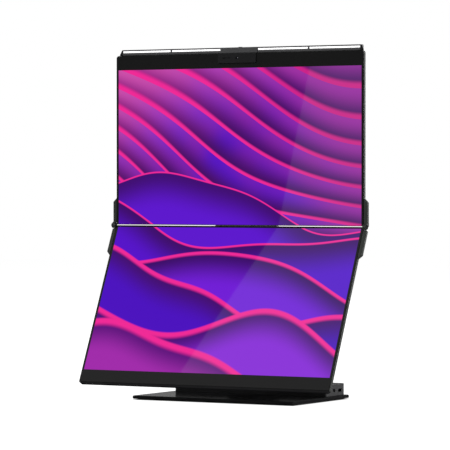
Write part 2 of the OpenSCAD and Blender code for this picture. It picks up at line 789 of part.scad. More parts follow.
module upper_arm_left() color([0.2, 0.2, 0.2]) upper_frame() mirror([1, 0, 0]) arm(upper_arm_len, true);

module pod_notch(grow, y0, y1) {
    half = pod_half + grow;
    block([-half, y0, upper_end - pod_h - grow], [half, y1, upper_end - rim - seat + grow]);
}

module upper_shell() color([0.28, 0.28, 0.29]) upper_frame()
    screen_shell(upper_edge, upper_end, upper_end, upper_cover_low);

module upper_glass() color([0.03, 0.03, 0.035]) upper_frame() difference() {
    deep(front, front + glass_t) screen_outline(upper_edge, upper_end, rim + seat);
    pod_notch(0.1, front - 1, front + glass_t + 1);
}

module upper_lcd_cell() color([0.35, 0.1, 0.55]) upper_frame() picture_layer(cell_y, cell_y + cell_t);

module upper_light_guide() color([0.8, 0.85, 0.88]) upper_frame() picture_layer(guide_y, guide_y + guide_t);

module upper_panel_plate() color([0.55, 0.56, 0.58]) upper_frame() picture_layer(plate_y, plate_y + plate_t);

module upper_led_strip() color([0.9, 0.9, 0.8]) upper_frame() led_strip_at(panel_high + seat);

module upper_driver_board() color([0.05, 0.22, 0.12]) upper_frame() circuit_board(upper_cover_low);

module upper_rear_cover() color([0.17, 0.17, 0.18]) upper_frame() rear_cover(upper_cover_low);

module upper_cover_screws() color([0.5, 0.5, 0.52]) upper_frame() cover_screws(upper_cover_low);

module upper_menu_button() color([0.1, 0.1, 0.1]) upper_frame() menu_button(upper_cover_low);

// Light bar

// Section of the bar in Y and Z: it stands on the screen's top edge and hooks down behind it
module bar_outline(y0) {
    polygon([
        [y0, bar_low], [y0 + bar_lean, bar_high], [bar_rear - 1.5, bar_high], [bar_rear, bar_high - 1.5],
        [bar_rear, bar_low], [back + seat + bar_lip_t, bar_low - 4],
        [back + seat + bar_lip_t, upper_end - bar_lip_h], [back + seat, upper_end - bar_lip_h],
        [back + seat, upper_end + seat], [y0 + bar_foot_in, upper_end + seat], [y0 + bar_foot_in, bar_low]
    ]);
}

module light_bar_channels() color([0.24, 0.24, 0.25]) upper_frame() both_sides() difference() {
    along_x(centre_half + seat, bar_cap_x) bar_outline(bar_front);
    for (x = slot_x)
        block([x - 0.2, bar_front - 1, bar_low + slot_up],
              [x + slot_run + 0.2, bar_front + 7, bar_low + slot_up + slot_h]);
}

module light_bar_diffusers() color([0.97, 0.97, 0.97]) upper_frame() both_sides() for (x = slot_x)
    block([x, bar_front + 1, bar_low + slot_up + seat],
          [x + slot_run, bar_front + 1 + diffuser_t, bar_low + slot_up + slot_h - seat]);

module light_bar_led_boards() color([0.85, 0.85, 0.75]) upper_frame() both_sides() for (x = slot_x) {
    z = bar_low + slot_up;
    block([x, bar_front + 5.9, z + seat], [x + slot_run, bar_front + 6.9, z + slot_h - seat]);
    for (k = [0 : leds_each - 1])
        translate([x + slot_run * (k + 0.5) / leds_each, bar_front + 5.3, z + slot_h / 2])
            block([-1.4, 0, -1.4], [1.4, 0.7, 1.4]);
}

module light_bar_end_caps() color([0.05, 0.05, 0.05]) upper_frame() both_sides() intersection() {
    along_x(bar_cap_x + seat, bar_half) bar_outline(bar_front);
    deep(front, bar_rear + 1)
        polygon([[bar_cap_x, 0], [bar_half, 0], [bar_half, bar_low], [bar_half - bar_end_lean, bar_high],
                 [bar_cap_x, bar_high]]);
    translate([0, 0, upper_end - bar_lip_h - 1]) linear_extrude(bar_high)
        polygon([[0, 0], [bar_half, 0], [bar_half, bar_front + 1], [bar_half - bar_end_draw, bar_rear],
                 [0, bar_rear]]);
}

module light_bar_centre() color([0.3, 0.3, 0.31]) upper_frame() difference() {
    along_x(-centre_half, centre_half) bar_outline(centre_front);
    block([-centre_half + 2, centre_front + centre_wall, bar_low + 1],
          [centre_half - 2, bar_rear - centre_wall, bar_high - bar_roof]);
    translate([0, lamp_button_y, 0]) rod_z(bar_high - 3, bar_high + 1, button_r + button_gap);
}

module lamp_button() color([0.12, 0.12, 0.12]) upper_frame()
    translate([0, lamp_button_y, bar_high]) rotate([90, 0, 0]) button_y(bar_roof);

// Camera

module camera_pod() color([0.11, 0.11, 0.11]) upper_frame() {
    low = upper_end - pod_h;
    difference() {
        union() {
            block([-pod_half, pod_face, low], [pod_half, front - seat, upper_end]);
            pod_notch(0, front - 0.5, floor_y - seat);
        }
        block([-pod_half + 1.6, pod_face + pod_wall, low + 1.6],
              [pod_half - 1.6, back, upper_end - rim - seat - 1.6]);
        translate([0, 0, lens_z]) rod_y(pod_face - 1, front, lens_window_r);
        // slot for the shutter's thumb piece
        translate([0, 0, lens_z])
            block([thumb_x - 2.3, pod_face - 1, -1.3], [thumb_x + 2.3 + shutter_travel, front, 1.3]);
        for (x = [-12, 12]) translate([x, 0, low + 3.4]) rod_y(pod_face - 1, front, 0.5);
    }
    // rails that guide the shutter and carry the board
    for (z = [-7.2, 5.8]) translate([0, 0, lens_z + z])
        block([-36, pod_face + pod_wall - 0.2, 0], [36, front + 2.4, 1.4]);
}

module camera_board() color([0.05, 0.22, 0.12]) upper_frame() translate([0, 0, lens_z])
    block([-34, front + 2.5, -7.1], [34, front + 3.5, 6.4]);

module camera_lens() color([0.06, 0.07, 0.1]) upper_frame() translate([0, 0, lens_z]) {
    rod_y(front - 0.7, front + 2.4, 3.4);
    block([-4.5, front + 0.8, -4.5], [4.5, front + 2.4, 4.5]);
}

module camera_shutter() color([0.4, 0.4, 0.42]) upper_frame() translate([0, 0, lens_z]) {
    blade_y = pod_face + pod_wall + 0.2;
    block([-4 - shutter_len, blade_y, -5.5], [-4, blade_y + 0.7, 5.5]);
    block([thumb_x - 2, pod_face - 0.8, -1], [thumb_x + 2, blade_y + 0.3, 1]);
}

base_plate();
base_feet();
hub_shell();
hub_board();
side_usb_a_port();
side_audio_jack();
rear_usb_a_ports();
rear_usb_c_port();
rear_hdmi_ports();
rear_lan_port();
power_inlet();
hub_screws();
power_button();
neck_column();
neck_cover();
neck_bolts();
tilt_bracket();
tilt_axle();
tilt_disc_springs();
tilt_nut();
tilt_caps();
bracket_screws();
lower_shell();
lower_glass();
lower_lcd_cell();
lower_light_guide();
lower_panel_plate();
lower_led_strip();
lower_chin_trim();
lower_speakers();
lower_main_board();
lower_rear_cover();
lower_cover_screws();
lower_menu_button();
lower_arm_left();
lower_arm_right();
fold_pins();
fold_washers();
upper_arm_left();
upper_arm_right();
upper_shell();
upper_glass();
upper_lcd_cell();
upper_light_guide();
upper_panel_plate();
upper_led_strip();
upper_driver_board();
upper_rear_cover();
upper_cover_screws();
upper_menu_button();
light_bar_channels();
light_bar_diffusers();
light_bar_led_boards();
light_bar_end_caps();
light_bar_centre();
lamp_button();
camera_pod();
camera_board();
camera_lens();
camera_shutter();
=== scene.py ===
"""Dual stacked monitor: detailed pieces, finishes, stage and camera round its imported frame."""

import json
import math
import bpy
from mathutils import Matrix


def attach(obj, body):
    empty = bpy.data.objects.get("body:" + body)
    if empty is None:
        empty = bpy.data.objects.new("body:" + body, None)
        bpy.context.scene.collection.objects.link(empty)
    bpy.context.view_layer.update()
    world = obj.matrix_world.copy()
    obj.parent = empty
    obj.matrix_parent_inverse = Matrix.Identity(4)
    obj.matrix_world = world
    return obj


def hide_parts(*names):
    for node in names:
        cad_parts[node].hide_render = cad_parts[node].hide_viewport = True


bl_info = {
    "name": "Stacked Monitor",
    "version": (1, 0, 0),
    "blender": (4, 5, 0),
    "location": "3D View > Sidebar > Monitor",
    "description": "Builds the pieces and finishes of a dual stacked monitor round its CAD frame",
    "category": "Add Mesh",
}

import bpy
import numpy as np
from mathutils import Matrix, Vector

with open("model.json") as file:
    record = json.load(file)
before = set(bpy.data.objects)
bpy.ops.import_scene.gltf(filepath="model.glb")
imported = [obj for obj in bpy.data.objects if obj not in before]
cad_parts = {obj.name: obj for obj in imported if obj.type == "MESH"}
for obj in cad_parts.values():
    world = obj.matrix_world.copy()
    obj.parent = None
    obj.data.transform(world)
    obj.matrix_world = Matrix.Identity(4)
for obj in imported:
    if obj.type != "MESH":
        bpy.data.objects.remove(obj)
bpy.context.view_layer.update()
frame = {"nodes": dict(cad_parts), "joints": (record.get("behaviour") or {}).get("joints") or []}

JOINTS = {joint["name"]: joint for joint in frame["joints"]}
FOLD = np.array(JOINTS["fold"]["pos_m"]) * 1000
TILT = np.array(JOINTS["tilt"]["pos_m"]) * 1000
PRESS = JOINTS["lower_menu_button_press"]["axis"]
LEAN = math.atan2(PRESS[2], -PRESS[1])


# Places, from local millimetres to metres in the frame


def in_base(p):
    """Only made metres: the base is where the frame is."""
    return p / 1000


def in_upper(p):
    """Moved to the fold axis."""
    return (p + FOLD) / 1000


def in_lower(p):
    """Turned over in Z, leant back by LEAN about the fold axis, then moved to it."""
    c, s = math.cos(LEAN), math.sin(LEAN)
    x, y, z = np.moveaxis(p, -1, 0)
    return (np.stack([x, y * c - z * s, -y * s - z * c], -1) + FOLD) / 1000


def from_lower(q):
    """The way back from in_lower."""
    c, s = math.cos(LEAN), math.sin(LEAN)
    x, y, z = np.moveaxis(q * 1000 - FOLD, -1, 0)
    return np.stack([x, y * c - z * s, -y * s - z * c], -1)


BACK_TO_LOCAL = {
    in_base: lambda q: q * 1000,
    in_upper: lambda q: q * 1000 - FOLD,
    in_lower: from_lower,
}
BODIES = {in_base: "base", in_upper: "upper_screen", in_lower: "lower_screen"}


def node_points(node, place=in_base):
    """The vertices of a CAD node in a place's own millimetres."""
    mesh = frame["nodes"][node].data
    co = np.empty(len(mesh.vertices) * 3)
    mesh.vertices.foreach_get("co", co)
    return BACK_TO_LOCAL[place](co.reshape(-1, 3))


def span(node, place=in_base):
    """A node's lowest and highest corners in a place's own millimetres."""
    p = node_points(node, place)
    return p.min(0), p.max(0)


# Flat outlines


class Outline:
    """A closed flat outline: its corners, and the radius of the arc at each. With n = 0 its corners
    are joined as they are."""

    def __init__(self, corners, radii=0.0, n=6):
        self.corners, self.n = np.asarray(corners, float), n
        self.radii = np.broadcast_to(np.asarray(radii, float), len(self.corners))

    def inset(self, d):
        """The outline moved inwards by d. A corner moves along its mitre (na + nb) / (1 + na . nb),
        where na and nb are the outward normals of its two edges. A convex corner's radius falls by
        d, and a concave one's grows by d."""
        p = self.corners
        a, b = p - np.roll(p, 1, 0), np.roll(p, -1, 0) - p
        a = a / np.linalg.norm(a, axis=1, keepdims=True)
        b = b / np.linalg.norm(b, axis=1, keepdims=True)
        x, y = p.T
        turn = np.sign((x * np.roll(y, -1) - y * np.roll(x, -1)).sum())
        na, nb = (np.stack([e[:, 1], -e[:, 0]], -1) * turn for e in (a, b))
        mitre = (na + nb) / (1 + (na * nb).sum(1, keepdims=True))
        bend = np.sign(a[:, 0] * b[:, 1] - a[:, 1] * b[:, 0]) * turn
        return Outline(p - d * mitre, np.maximum(self.radii - d * bend, 0), self.n)

    def drawn(self):
        """Its points. An arc is the slerp between the directions of its two tangent points, seen
        from its centre, which lies on the corner's bisector at r / sin(half the angle)."""
        if not self.n:
            return self.corners
        p = self.corners
        r = np.maximum(self.radii, 0.02)[:, None]
        u, v = np.roll(p, 1, 0) - p, np.roll(p, -1, 0) - p
        u = u / np.linalg.norm(u, axis=1, keepdims=True)
        v = v / np.linalg.norm(v, axis=1, keepdims=True)
        half = np.arccos(np.clip((u * v).sum(1, keepdims=True), -1, 1)) / 2
        centre = p + (u + v) / np.linalg.norm(u + v, axis=1, keepdims=True) * r / np.sin(half)
        start, end = p + u * r / np.tan(half) - centre, p + v * r / np.tan(half) - centre
        sweep = (np.pi - 2 * half)[:, None]
        s = np.linspace(0, 1, self.n + 1)[None, :, None]
        arc = np.sin((1 - s) * sweep) * start[:, None] + np.sin(s * sweep) * end[:, None]
        return (centre[:, None] + arc / np.sin(sweep)).reshape(-1, 2)


def rectangle(x0, z0, x1, z1, radii=0.0, n=6):
    """A rectangle between two corners, with rounded corners of n steps."""
    return Outline([[x0, z0], [x1, z0], [x1, z1], [x0, z1]], radii, n)


def circle(r, n=48, centre=(0, 0)):
    """n points at r (cos t, sin t) round a centre."""
    t = np.arange(n) * 2 * np.pi / n
    return Outline(np.stack([r * np.cos(t), r * np.sin(t)], -1) + centre, n=0)


# Solids as stacked rings

AXES = {"xy": (0, 1, 2), "xz": (0, 2, 1), "yz": (1, 2, 0)}
PAST = 1  # how far a cutter runs past the face that it opens


def middle(low, high, plane="xy"):
    """The middle of a box in a plane."""
    i, j, _ = AXES[plane]
    return (low + high)[[i, j]] / 2


def lay(flat, depth, plane):
    """Flat points and a depth as points in space, with the depth along the axis that the plane
    leaves out."""
    out = np.empty(flat.shape[:-1] + (3,))
    a, b, c = AXES[plane]
    out[..., a], out[..., b], out[..., c] = flat[..., 0], flat[..., 1], depth
    return out


def edge_profile(d0, d1, r0, r1, n=4):
    """(inset, depth, wear) from one face to the other, with a quarter arc at each edge:
    inset = r (1 - sin t), depth = d0 + r (1 - cos t), t from 0 to a right angle."""
    t = np.linspace(0, np.pi / 2, n + 1)
    w = np.sin(2 * t)
    way = 1 if d1 > d0 else -1
    low = np.stack([r0 * (1 - np.sin(t)), d0 + way * r0 * (1 - np.cos(t)), w], -1)
    high = np.stack([r1 * (1 - np.sin(t)), d1 - way * r1 * (1 - np.cos(t)), w], -1)[::-1]
    return np.concatenate([low if r0 > 0 else low[-1:], high if r1 > 0 else high[:1]])


class Skin:
    """Closed surfaces, each a stack of rings of points in millimetres."""

    def __init__(self):
        self.points, self.faces, self.wear, self.total = [], [], [], 0

    def shell(self, rings, wear=None, tips=(None, None)):
        """Quads between neighbouring rings, and each end closed by its ring or by a tip point.
        A negative volume, the sum of the triangles' triple products, turns the faces round."""
        rings = np.asarray(rings, float)
        k, n = rings.shape[:2]
        index = np.arange(k * n).reshape(k, n)
        after = np.roll(index, -1, 1)
        quads = np.stack([index[:-1], after[:-1], after[1:], index[1:]], -1).reshape(-1, 4)
        points = [rings.reshape(-1, 3)]
        tris = [quads[:, [0, 1, 2]], quads[:, [0, 2, 3]]]
        caps = []
        count = k * n
        for tip, ring in zip(tips, (index[0][::-1], index[-1])):
            fan = np.stack([ring, np.roll(ring, -1), np.full(n, ring[0])], -1)
            if tip is None:
                caps.append(ring[None])
            else:
                points.append(np.asarray(tip, float)[None])
                fan[:, 2] = count
                count += 1
                caps.append(fan)
            tris.append(fan)
        points = np.concatenate(points)
        a, b, c = (points[np.concatenate(tris)[:, i]] for i in range(3))
        flip = (a * np.cross(b, c)).sum() < 0
        for block in [quads] + caps:
            block = block[:, ::-1] if flip else block
            self.faces += (block + self.total).tolist()
        self.points.append(points)
        worn = np.zeros(count)
        if wear is not None:
            worn[: k * n] = np.repeat(wear, n)
        self.wear.append(worn)
        self.total += count
        return self

    def slab(self, outline, d0, d1, r0=0.0, r1=0.0, plane="xz", n=4):
        """An outline through a depth: ring k is the outline inset by row k of the edge profile."""
        profile = edge_profile(d0, d1, r0, r1, n)
        rings = np.stack([lay(outline.inset(i).drawn(), d, plane) for i, d, _ in profile])
        return self.shell(rings, profile[:, 2])

    def block(self, low, high):
        """A plain cutter box."""
        (x0, y0, z0), (x1, y1, z1) = low, high
        flat = np.array([[x0, z0], [x1, z0], [x1, z1], [x0, z1]], float)
        return self.shell(np.stack([lay(flat, y0, "xz"), lay(flat, y1, "xz")]))

    def rod(self, centre, r, d0, d1, plane, n=48):
        """A plain cutter rod."""
        flat = circle(r, n, centre).drawn()
        return self.shell(np.stack([lay(flat, d0, plane), lay(flat, d1, plane)]))

    def lathe(self, profile, centre, plane, n=48, wear=None):
        """A turned form: ring k is the circle of radius profile[k][0] at depth profile[k][1]. A
        radius of 0 at an end closes it in a point."""
        profile = np.asarray(profile, float)
        tips = [None, None]
        for end, row in ((0, profile[0]), (1, profile[-1])):
            if row[0] == 0:
                tips[end] = lay(np.array([centre], float), row[1], plane)[0]
        body = profile[profile[:, 0] > 0]
        rings = np.stack([lay(circle(r, n, centre).drawn(), d, plane) for r, d in body])
        return self.shell(rings, wear, tips)

    def turned(self, move):
        """Every point moved by a function from millimetres to millimetres."""
        self.points = [move(p) for p in self.points]
        return self

    def object(self, name):
        """The skin as an object, in its own metres."""
        mesh = bpy.data.meshes.new(name)
        mesh.from_pydata((np.concatenate(self.points) / 1000).tolist(), [], self.faces)
        worn = mesh.attributes.new("wear", "FLOAT", "POINT")
        worn.data.foreach_set("value", np.concatenate(self.wear).astype(np.float32))
        made = bpy.data.objects.new(name, mesh)
        bpy.context.scene.collection.objects.link(made)
        return made


def evaluated(obj):
    """Applies the modifiers. A cut that leaves nothing stops the script."""
    mesh = bpy.data.meshes.new_from_object(obj.evaluated_get(bpy.context.evaluated_depsgraph_get()))
    if not mesh.polygons:
        raise RuntimeError(obj.name + " came out empty")
    obj.modifiers.clear()
    obj.data = mesh


def settle(obj, place):
    """Moves a mesh from its own metres to its place. A place that mirrors, with a negative
    determinant, turns each face."""
    mesh = obj.data
    co = np.empty(len(mesh.vertices) * 3)
    mesh.vertices.foreach_get("co", co)
    mesh.vertices.foreach_set("co", place(co.reshape(-1, 3) * 1000).ravel())
    if np.linalg.det(place(np.eye(3)) - place(np.zeros((3, 3)))) < 0:
        mesh.flip_normals()
    mesh.update()


SHARP = 32  # degrees between two faces, past which their edge stays sharp


def piece(name, skin, place, coat, nodes=(), cuts=(), joins=(), late=(), body=None):
    """One finished object from a skin: welded to the joins, cut by the cuts, welded to the late
    joins, smooth but for edges sharper than SHARP, and riding on its place's body, or on another
    that is given, instead of its CAD nodes."""
    obj, tools = skin.object(name), []
    for operation, skins in (("UNION", joins), ("DIFFERENCE", cuts), ("UNION", late)):
        for other in skins:
            tools.append(other.object(name + "_tool"))
            modifier = obj.modifiers.new(operation, "BOOLEAN")
            modifier.operation, modifier.solver, modifier.object = operation, "EXACT", tools[-1]
    if tools:
        evaluated(obj)
        for tool in tools:
            bpy.data.objects.remove(tool)
    settle(obj, place)
    obj.data.shade_smooth()
    obj.data.set_sharp_from_angle(angle=math.radians(SHARP))
    obj.modifiers.new("even", "WEIGHTED_NORMAL").keep_sharp = True
    evaluated(obj)
    obj.data.materials.clear()
    obj.data.materials.append(finish(coat))
    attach(obj, body or BODIES[place])
    if nodes:
        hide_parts(*nodes)
    return obj


# Finishes


class Term:
    """A shader socket that Python's operators act on."""

    def __init__(self, finish, socket):
        self.finish, self.socket = finish, socket

    def math(self, operation, *others):
        """A Math node on this socket and the others."""
        return self.finish.node("ShaderNodeMath", {"operation": operation}, (self,) + others)

    def __add__(self, other):
        return self.math("ADD", other)

    def __sub__(self, other):
        return self.math("SUBTRACT", other)

    def __mul__(self, other):
        return self.math("MULTIPLY", other)

    def __truediv__(self, other):
        return self.math("DIVIDE", other)

    def __rsub__(self, other):
        return (self * -1) + other

    __radd__, __rmul__ = __add__, __mul__

    def sin(self):
        return self.math("SINE")

    def smooth(self, low, high):
        """0 below low, 1 above high, with an eased step between. Both may be sockets."""
        return self.finish.node(
            "ShaderNodeMapRange",
            {"interpolation_type": "SMOOTHSTEP"},
            {"Value": self, "From Min": low, "From Max": high},
        )


class Finish:
    """A node material round one Principled shader. The fixed values go on the shader's own sockets,
    and feed links what changes over the surface. Noise and cell scales are counts per metre."""

    def __init__(self, name, **fixed):
        self.material = bpy.data.materials.new(name)
        self.material.use_nodes = True
        self.tree = self.material.node_tree
        self.shader = self.tree.nodes["Principled BSDF"]
        for socket, value in fixed.items():
            self.shader.inputs[socket.replace("_", " ")].default_value = value

    def node(self, kind, settings=None, inputs=(), output=0):
        made = self.tree.nodes.new(kind)
        for key, value in (settings or {}).items():
            setattr(made, key, value)
        pairs = inputs.items() if isinstance(inputs, dict) else enumerate(inputs)
        for key, value in pairs:
            self.put(made.inputs[key], value)
        return Term(self, made.outputs[output])

    def put(self, socket, value):
        """A link, a colour or a plain value into a socket."""
        if isinstance(value, Term):
            self.tree.links.new(value.socket, socket)
        elif isinstance(value, (tuple, list, np.ndarray)) and len(socket.default_value) == 4:
            socket.default_value = tuple(value)[:3] + (1.0,)
        else:
            socket.default_value = value

    def feed(self, **links):
        for socket, value in links.items():
            self.put(self.shader.inputs[socket.replace("_", " ")], value)
        return self

    def coords(self, stretch=(1, 1, 1)):
        """Object coordinates, scaled along the axes."""
        place = self.node("ShaderNodeTexCoord", output=3)
        return self.node("ShaderNodeMapping", {}, {"Vector": place, "Scale": stretch})

    def noise(self, scale, detail=3.0, rough=0.5, where=None):
        return self.node(
            "ShaderNodeTexNoise",
            {},
            {
                "Vector": where or self.coords(),
                "Scale": scale,
                "Detail": detail,
                "Roughness": rough,
            },
        )

    def cells(self, scale, feature="F1", where=None):
        return self.node(
            "ShaderNodeTexVoronoi",
            {"feature": feature},
            {"Vector": where or self.coords(), "Scale": scale},
        )

    def mix(self, factor, a, b):
        made = self.tree.nodes.new("ShaderNodeMix")
        made.data_type = "RGBA"
        for key, value in ((0, factor), (6, a), (7, b)):
            self.put(made.inputs[key], value)
        return Term(self, made.outputs[2])

    def bump(self, height, depth, strength=1.0):
        return self.node(
            "ShaderNodeBump", {}, {"Height": height, "Distance": depth, "Strength": strength}
        )

    def worn(self):
        """The mesh's own mark of wear and shade: 1 along rubbed edges, 0 on faces, below 0 where
        the colour is painted near black.
        """
        return self.node("ShaderNodeAttribute", {"attribute_name": "wear"}, output=2)


def tint(colour, k):
    """A colour made k times as bright."""
    return tuple(min(c * k, 1.0) for c in colour)


def powder_coat(name, colour):
    """Textured powder coat: fine orange peel, sparse darker spots, edges rubbed a little bright."""
    f = Finish(name, Specular_IOR_Level=0.0008)
    cloud, grain = f.noise(14, 4), f.noise(900, 2, 0.7)
    base = f.mix(cloud.smooth(0.35, 0.7), tint(colour, 0.9), tint(colour, 1.12))
    base = f.mix(f.cells(700).smooth(0.0, 0.25), tint(colour, 0.6), base)
    base = f.mix(f.worn() * f.noise(240).smooth(0.4, 0.7) * 0.5, base, tint(colour, 2.2))
    f.feed(
        Base_Color=base,
        Roughness=grain * 0.1 + 0.11 + cloud * 0.06,
        Normal=f.bump(grain, 0.00006, 0.6),
    )
    return f.material


def anodised(name, colour):
    """Blasted and anodised alloy: a fine grain, worn edges a little bright. Where the mark is below
    0
    it is painted near black: painted shade on the rim round the glass, and the knuckles darkened
    alike."""
    f = Finish(name, Metallic=0.2, Specular_IOR_Level=0.035)
    cloud, grain = f.noise(9, 3), f.noise(1400, 2, 0.6)
    base = f.mix(cloud.smooth(0.3, 0.7), tint(colour, 0.92), tint(colour, 1.1))
    base = f.mix(f.worn() * 0.4, base, tint(colour, 1.5))
    # painted shade: near black where the mark is below 0, on the rim round the glass; the hinge
    # knuckles are darkened the same way
    base = f.mix(f.worn() * -1, base, tint(colour, 0.12))
    f.feed(
        Base_Color=base,
        Roughness=grain * 0.12 + 0.38 + f.noise(60, 2) * 0.06,
        Normal=f.bump(grain, 0.00002, 0.5),
    )
    return f.material


def moulded(name, colour, level=0.04):
    """Moulded plastic: a spark-eroded grain of small cells, softly uneven gloss."""
    f = Finish(name, Specular_IOR_Level=level)
    cloud, grain = f.noise(20, 3), f.cells(1100)
    base = f.mix(cloud.smooth(0.3, 0.75), tint(colour, 0.9), tint(colour, 1.12))
    base = f.mix(f.worn() * 0.25, base, tint(colour, 1.5))
    f.feed(
        Base_Color=base,
        Roughness=grain * 0.2 + 0.5 + cloud * 0.08,
        Normal=f.bump(grain + f.noise(2300, 1) * 0.5, 0.00002, 0.3),
    )
    return f.material


def rubber(name, colour):
    """Matt rubber with pale dust in soft patches."""
    f = Finish(name, IOR=1.52)
    grain = f.noise(1800, 3, 0.7)
    dust = f.noise(120, 4).smooth(0.5, 0.75)
    f.feed(
        Base_Color=f.mix(dust * 0.4, colour, tint(colour, 2.5)),
        Roughness=grain * 0.15 + 0.75,
        Normal=f.bump(grain, 0.00005, 0.6),
    )
    return f.material


def metal(name, colour, roughness=0.3, stretch=(1, 1, 1)):
    """Bare or plated metal with a fine grain, drawn into lines along an axis of small stretch."""
    f = Finish(name, Metallic=1.0)
    lines = f.noise(700, 3, 0.6, f.coords(stretch))
    stain = f.noise(80, 3).smooth(0.45, 0.8)
    f.feed(
        Base_Color=f.mix(stain * 0.35, colour, tint(colour, 0.7)),
        Roughness=lines * 0.2 + (roughness - 0.1) + stain * 0.08,
        Normal=f.bump(lines, 0.00002, 0.4),
    )
    return f.material


def circuit(name, colour):
    """A soldered board: green mask over copper lanes, with tinned pads."""
    f = Finish(name, IOR=1.5)
    lanes = f.cells(260, "DISTANCE_TO_EDGE")
    pads = 1 - f.cells(420).smooth(0.1, 0.14)
    lane = 1 - lanes.smooth(0.03, 0.06)
    base = f.mix(lane * 0.6, colour, tint(colour, 2.1))
    base = f.mix(pads * 0.8, base, (0.62, 0.58, 0.5))
    f.feed(
        Base_Color=base,
        Roughness=0.5 - pads * 0.2,
        Metallic=pads * 0.8,
        Normal=f.bump(lane + pads, 0.00004, 0.5),
    )
    return f.material


def opal(name, colour, strength):
    """An opal diffuser lit from behind: even, a touch dimmer in soft patches."""
    f = Finish(name, Roughness=0.45, Emission_Strength=strength)
    beads = f.noise(26, 1).smooth(0.2, 0.8)
    lit = f.mix(beads, tint(colour, 0.96), colour)
    grain = f.noise(900, 2)
    f.feed(Base_Color=lit, Emission_Color=lit, Normal=f.bump(grain, 0.00003, 0.4))
    return f.material


def acrylic(name, colour):
    """Clear acrylic with a pattern of white dots that lets the light out."""
    f = Finish(name, IOR=1.49, Coat_Weight=0.3)
    dots = 1 - f.cells(500).smooth(0.2, 0.3)
    f.feed(
        Base_Color=f.mix(dots, colour, (1, 1, 1)),
        Roughness=0.1 + dots * 0.4,
        Normal=f.bump(dots, 0.00003, 0.3),
    )
    return f.material


def coated_lens(name, colour):
    """Dark coated glass, clouded with violet."""
    f = Finish(name, IOR=1.45, Coat_Weight=0.4, Coat_Roughness=0.02)
    f.feed(
        Base_Color=f.mix(f.noise(300, 1), colour, (0.02, 0.015, 0.06)),
        Roughness=0.06 + f.noise(500) * 0.04,
    )
    return f.material


def srgb(r, g, b):
    """Screen levels 0 to 255 as linear light: ((v + 0.055) / 1.055) to the power 2.4."""
    v = np.array([r, g, b]) / 255
    return tuple(np.where(v < 0.04045, v / 12.92, ((v + 0.055) / 1.055) ** 2.4).tolist())


# Hills of the picture, from far to near: crest height, then its two waves as (amplitude, frequency,
# phase), the rim's width and softness, and the hue at the crest and further down
HILLS = (
    (0.052, (0.030, 11, 2.6), (0.006, 26, 0.3), 0.0028, 0.0016, (62, 2, 112), (92, 16, 205)),
    (-0.012, (0.036, 9, 5.2), (0.008, 21, 0.8), 0.0034, 0.003, (60, 0, 104), (84, 8, 200)),
    (-0.074, (0.032, 12, 1.1), (0.008, 20, 4.1), 0.0052, 0.006, (56, 0, 100), (112, 24, 214)),
    (-0.128, (0.040, 8, 3.9), (0.010, 24, 2.2), 0.0070, 0.008, (66, 2, 108), (74, 6, 190)),
    (-0.196, (0.042, 11, 0.2), (0.008, 19, 5.6), 0.0080, 0.010, (70, 4, 112), (134, 34, 214)),
    (-0.262, (0.030, 10, 3.3), (0.010, 23, 1.0), 0.0100, 0.012, (88, 8, 120), (160, 40, 170)),
)
BAND_PITCH, BAND_SLOPE, HILL_SLOPE = 0.046, 0.34, 0.16


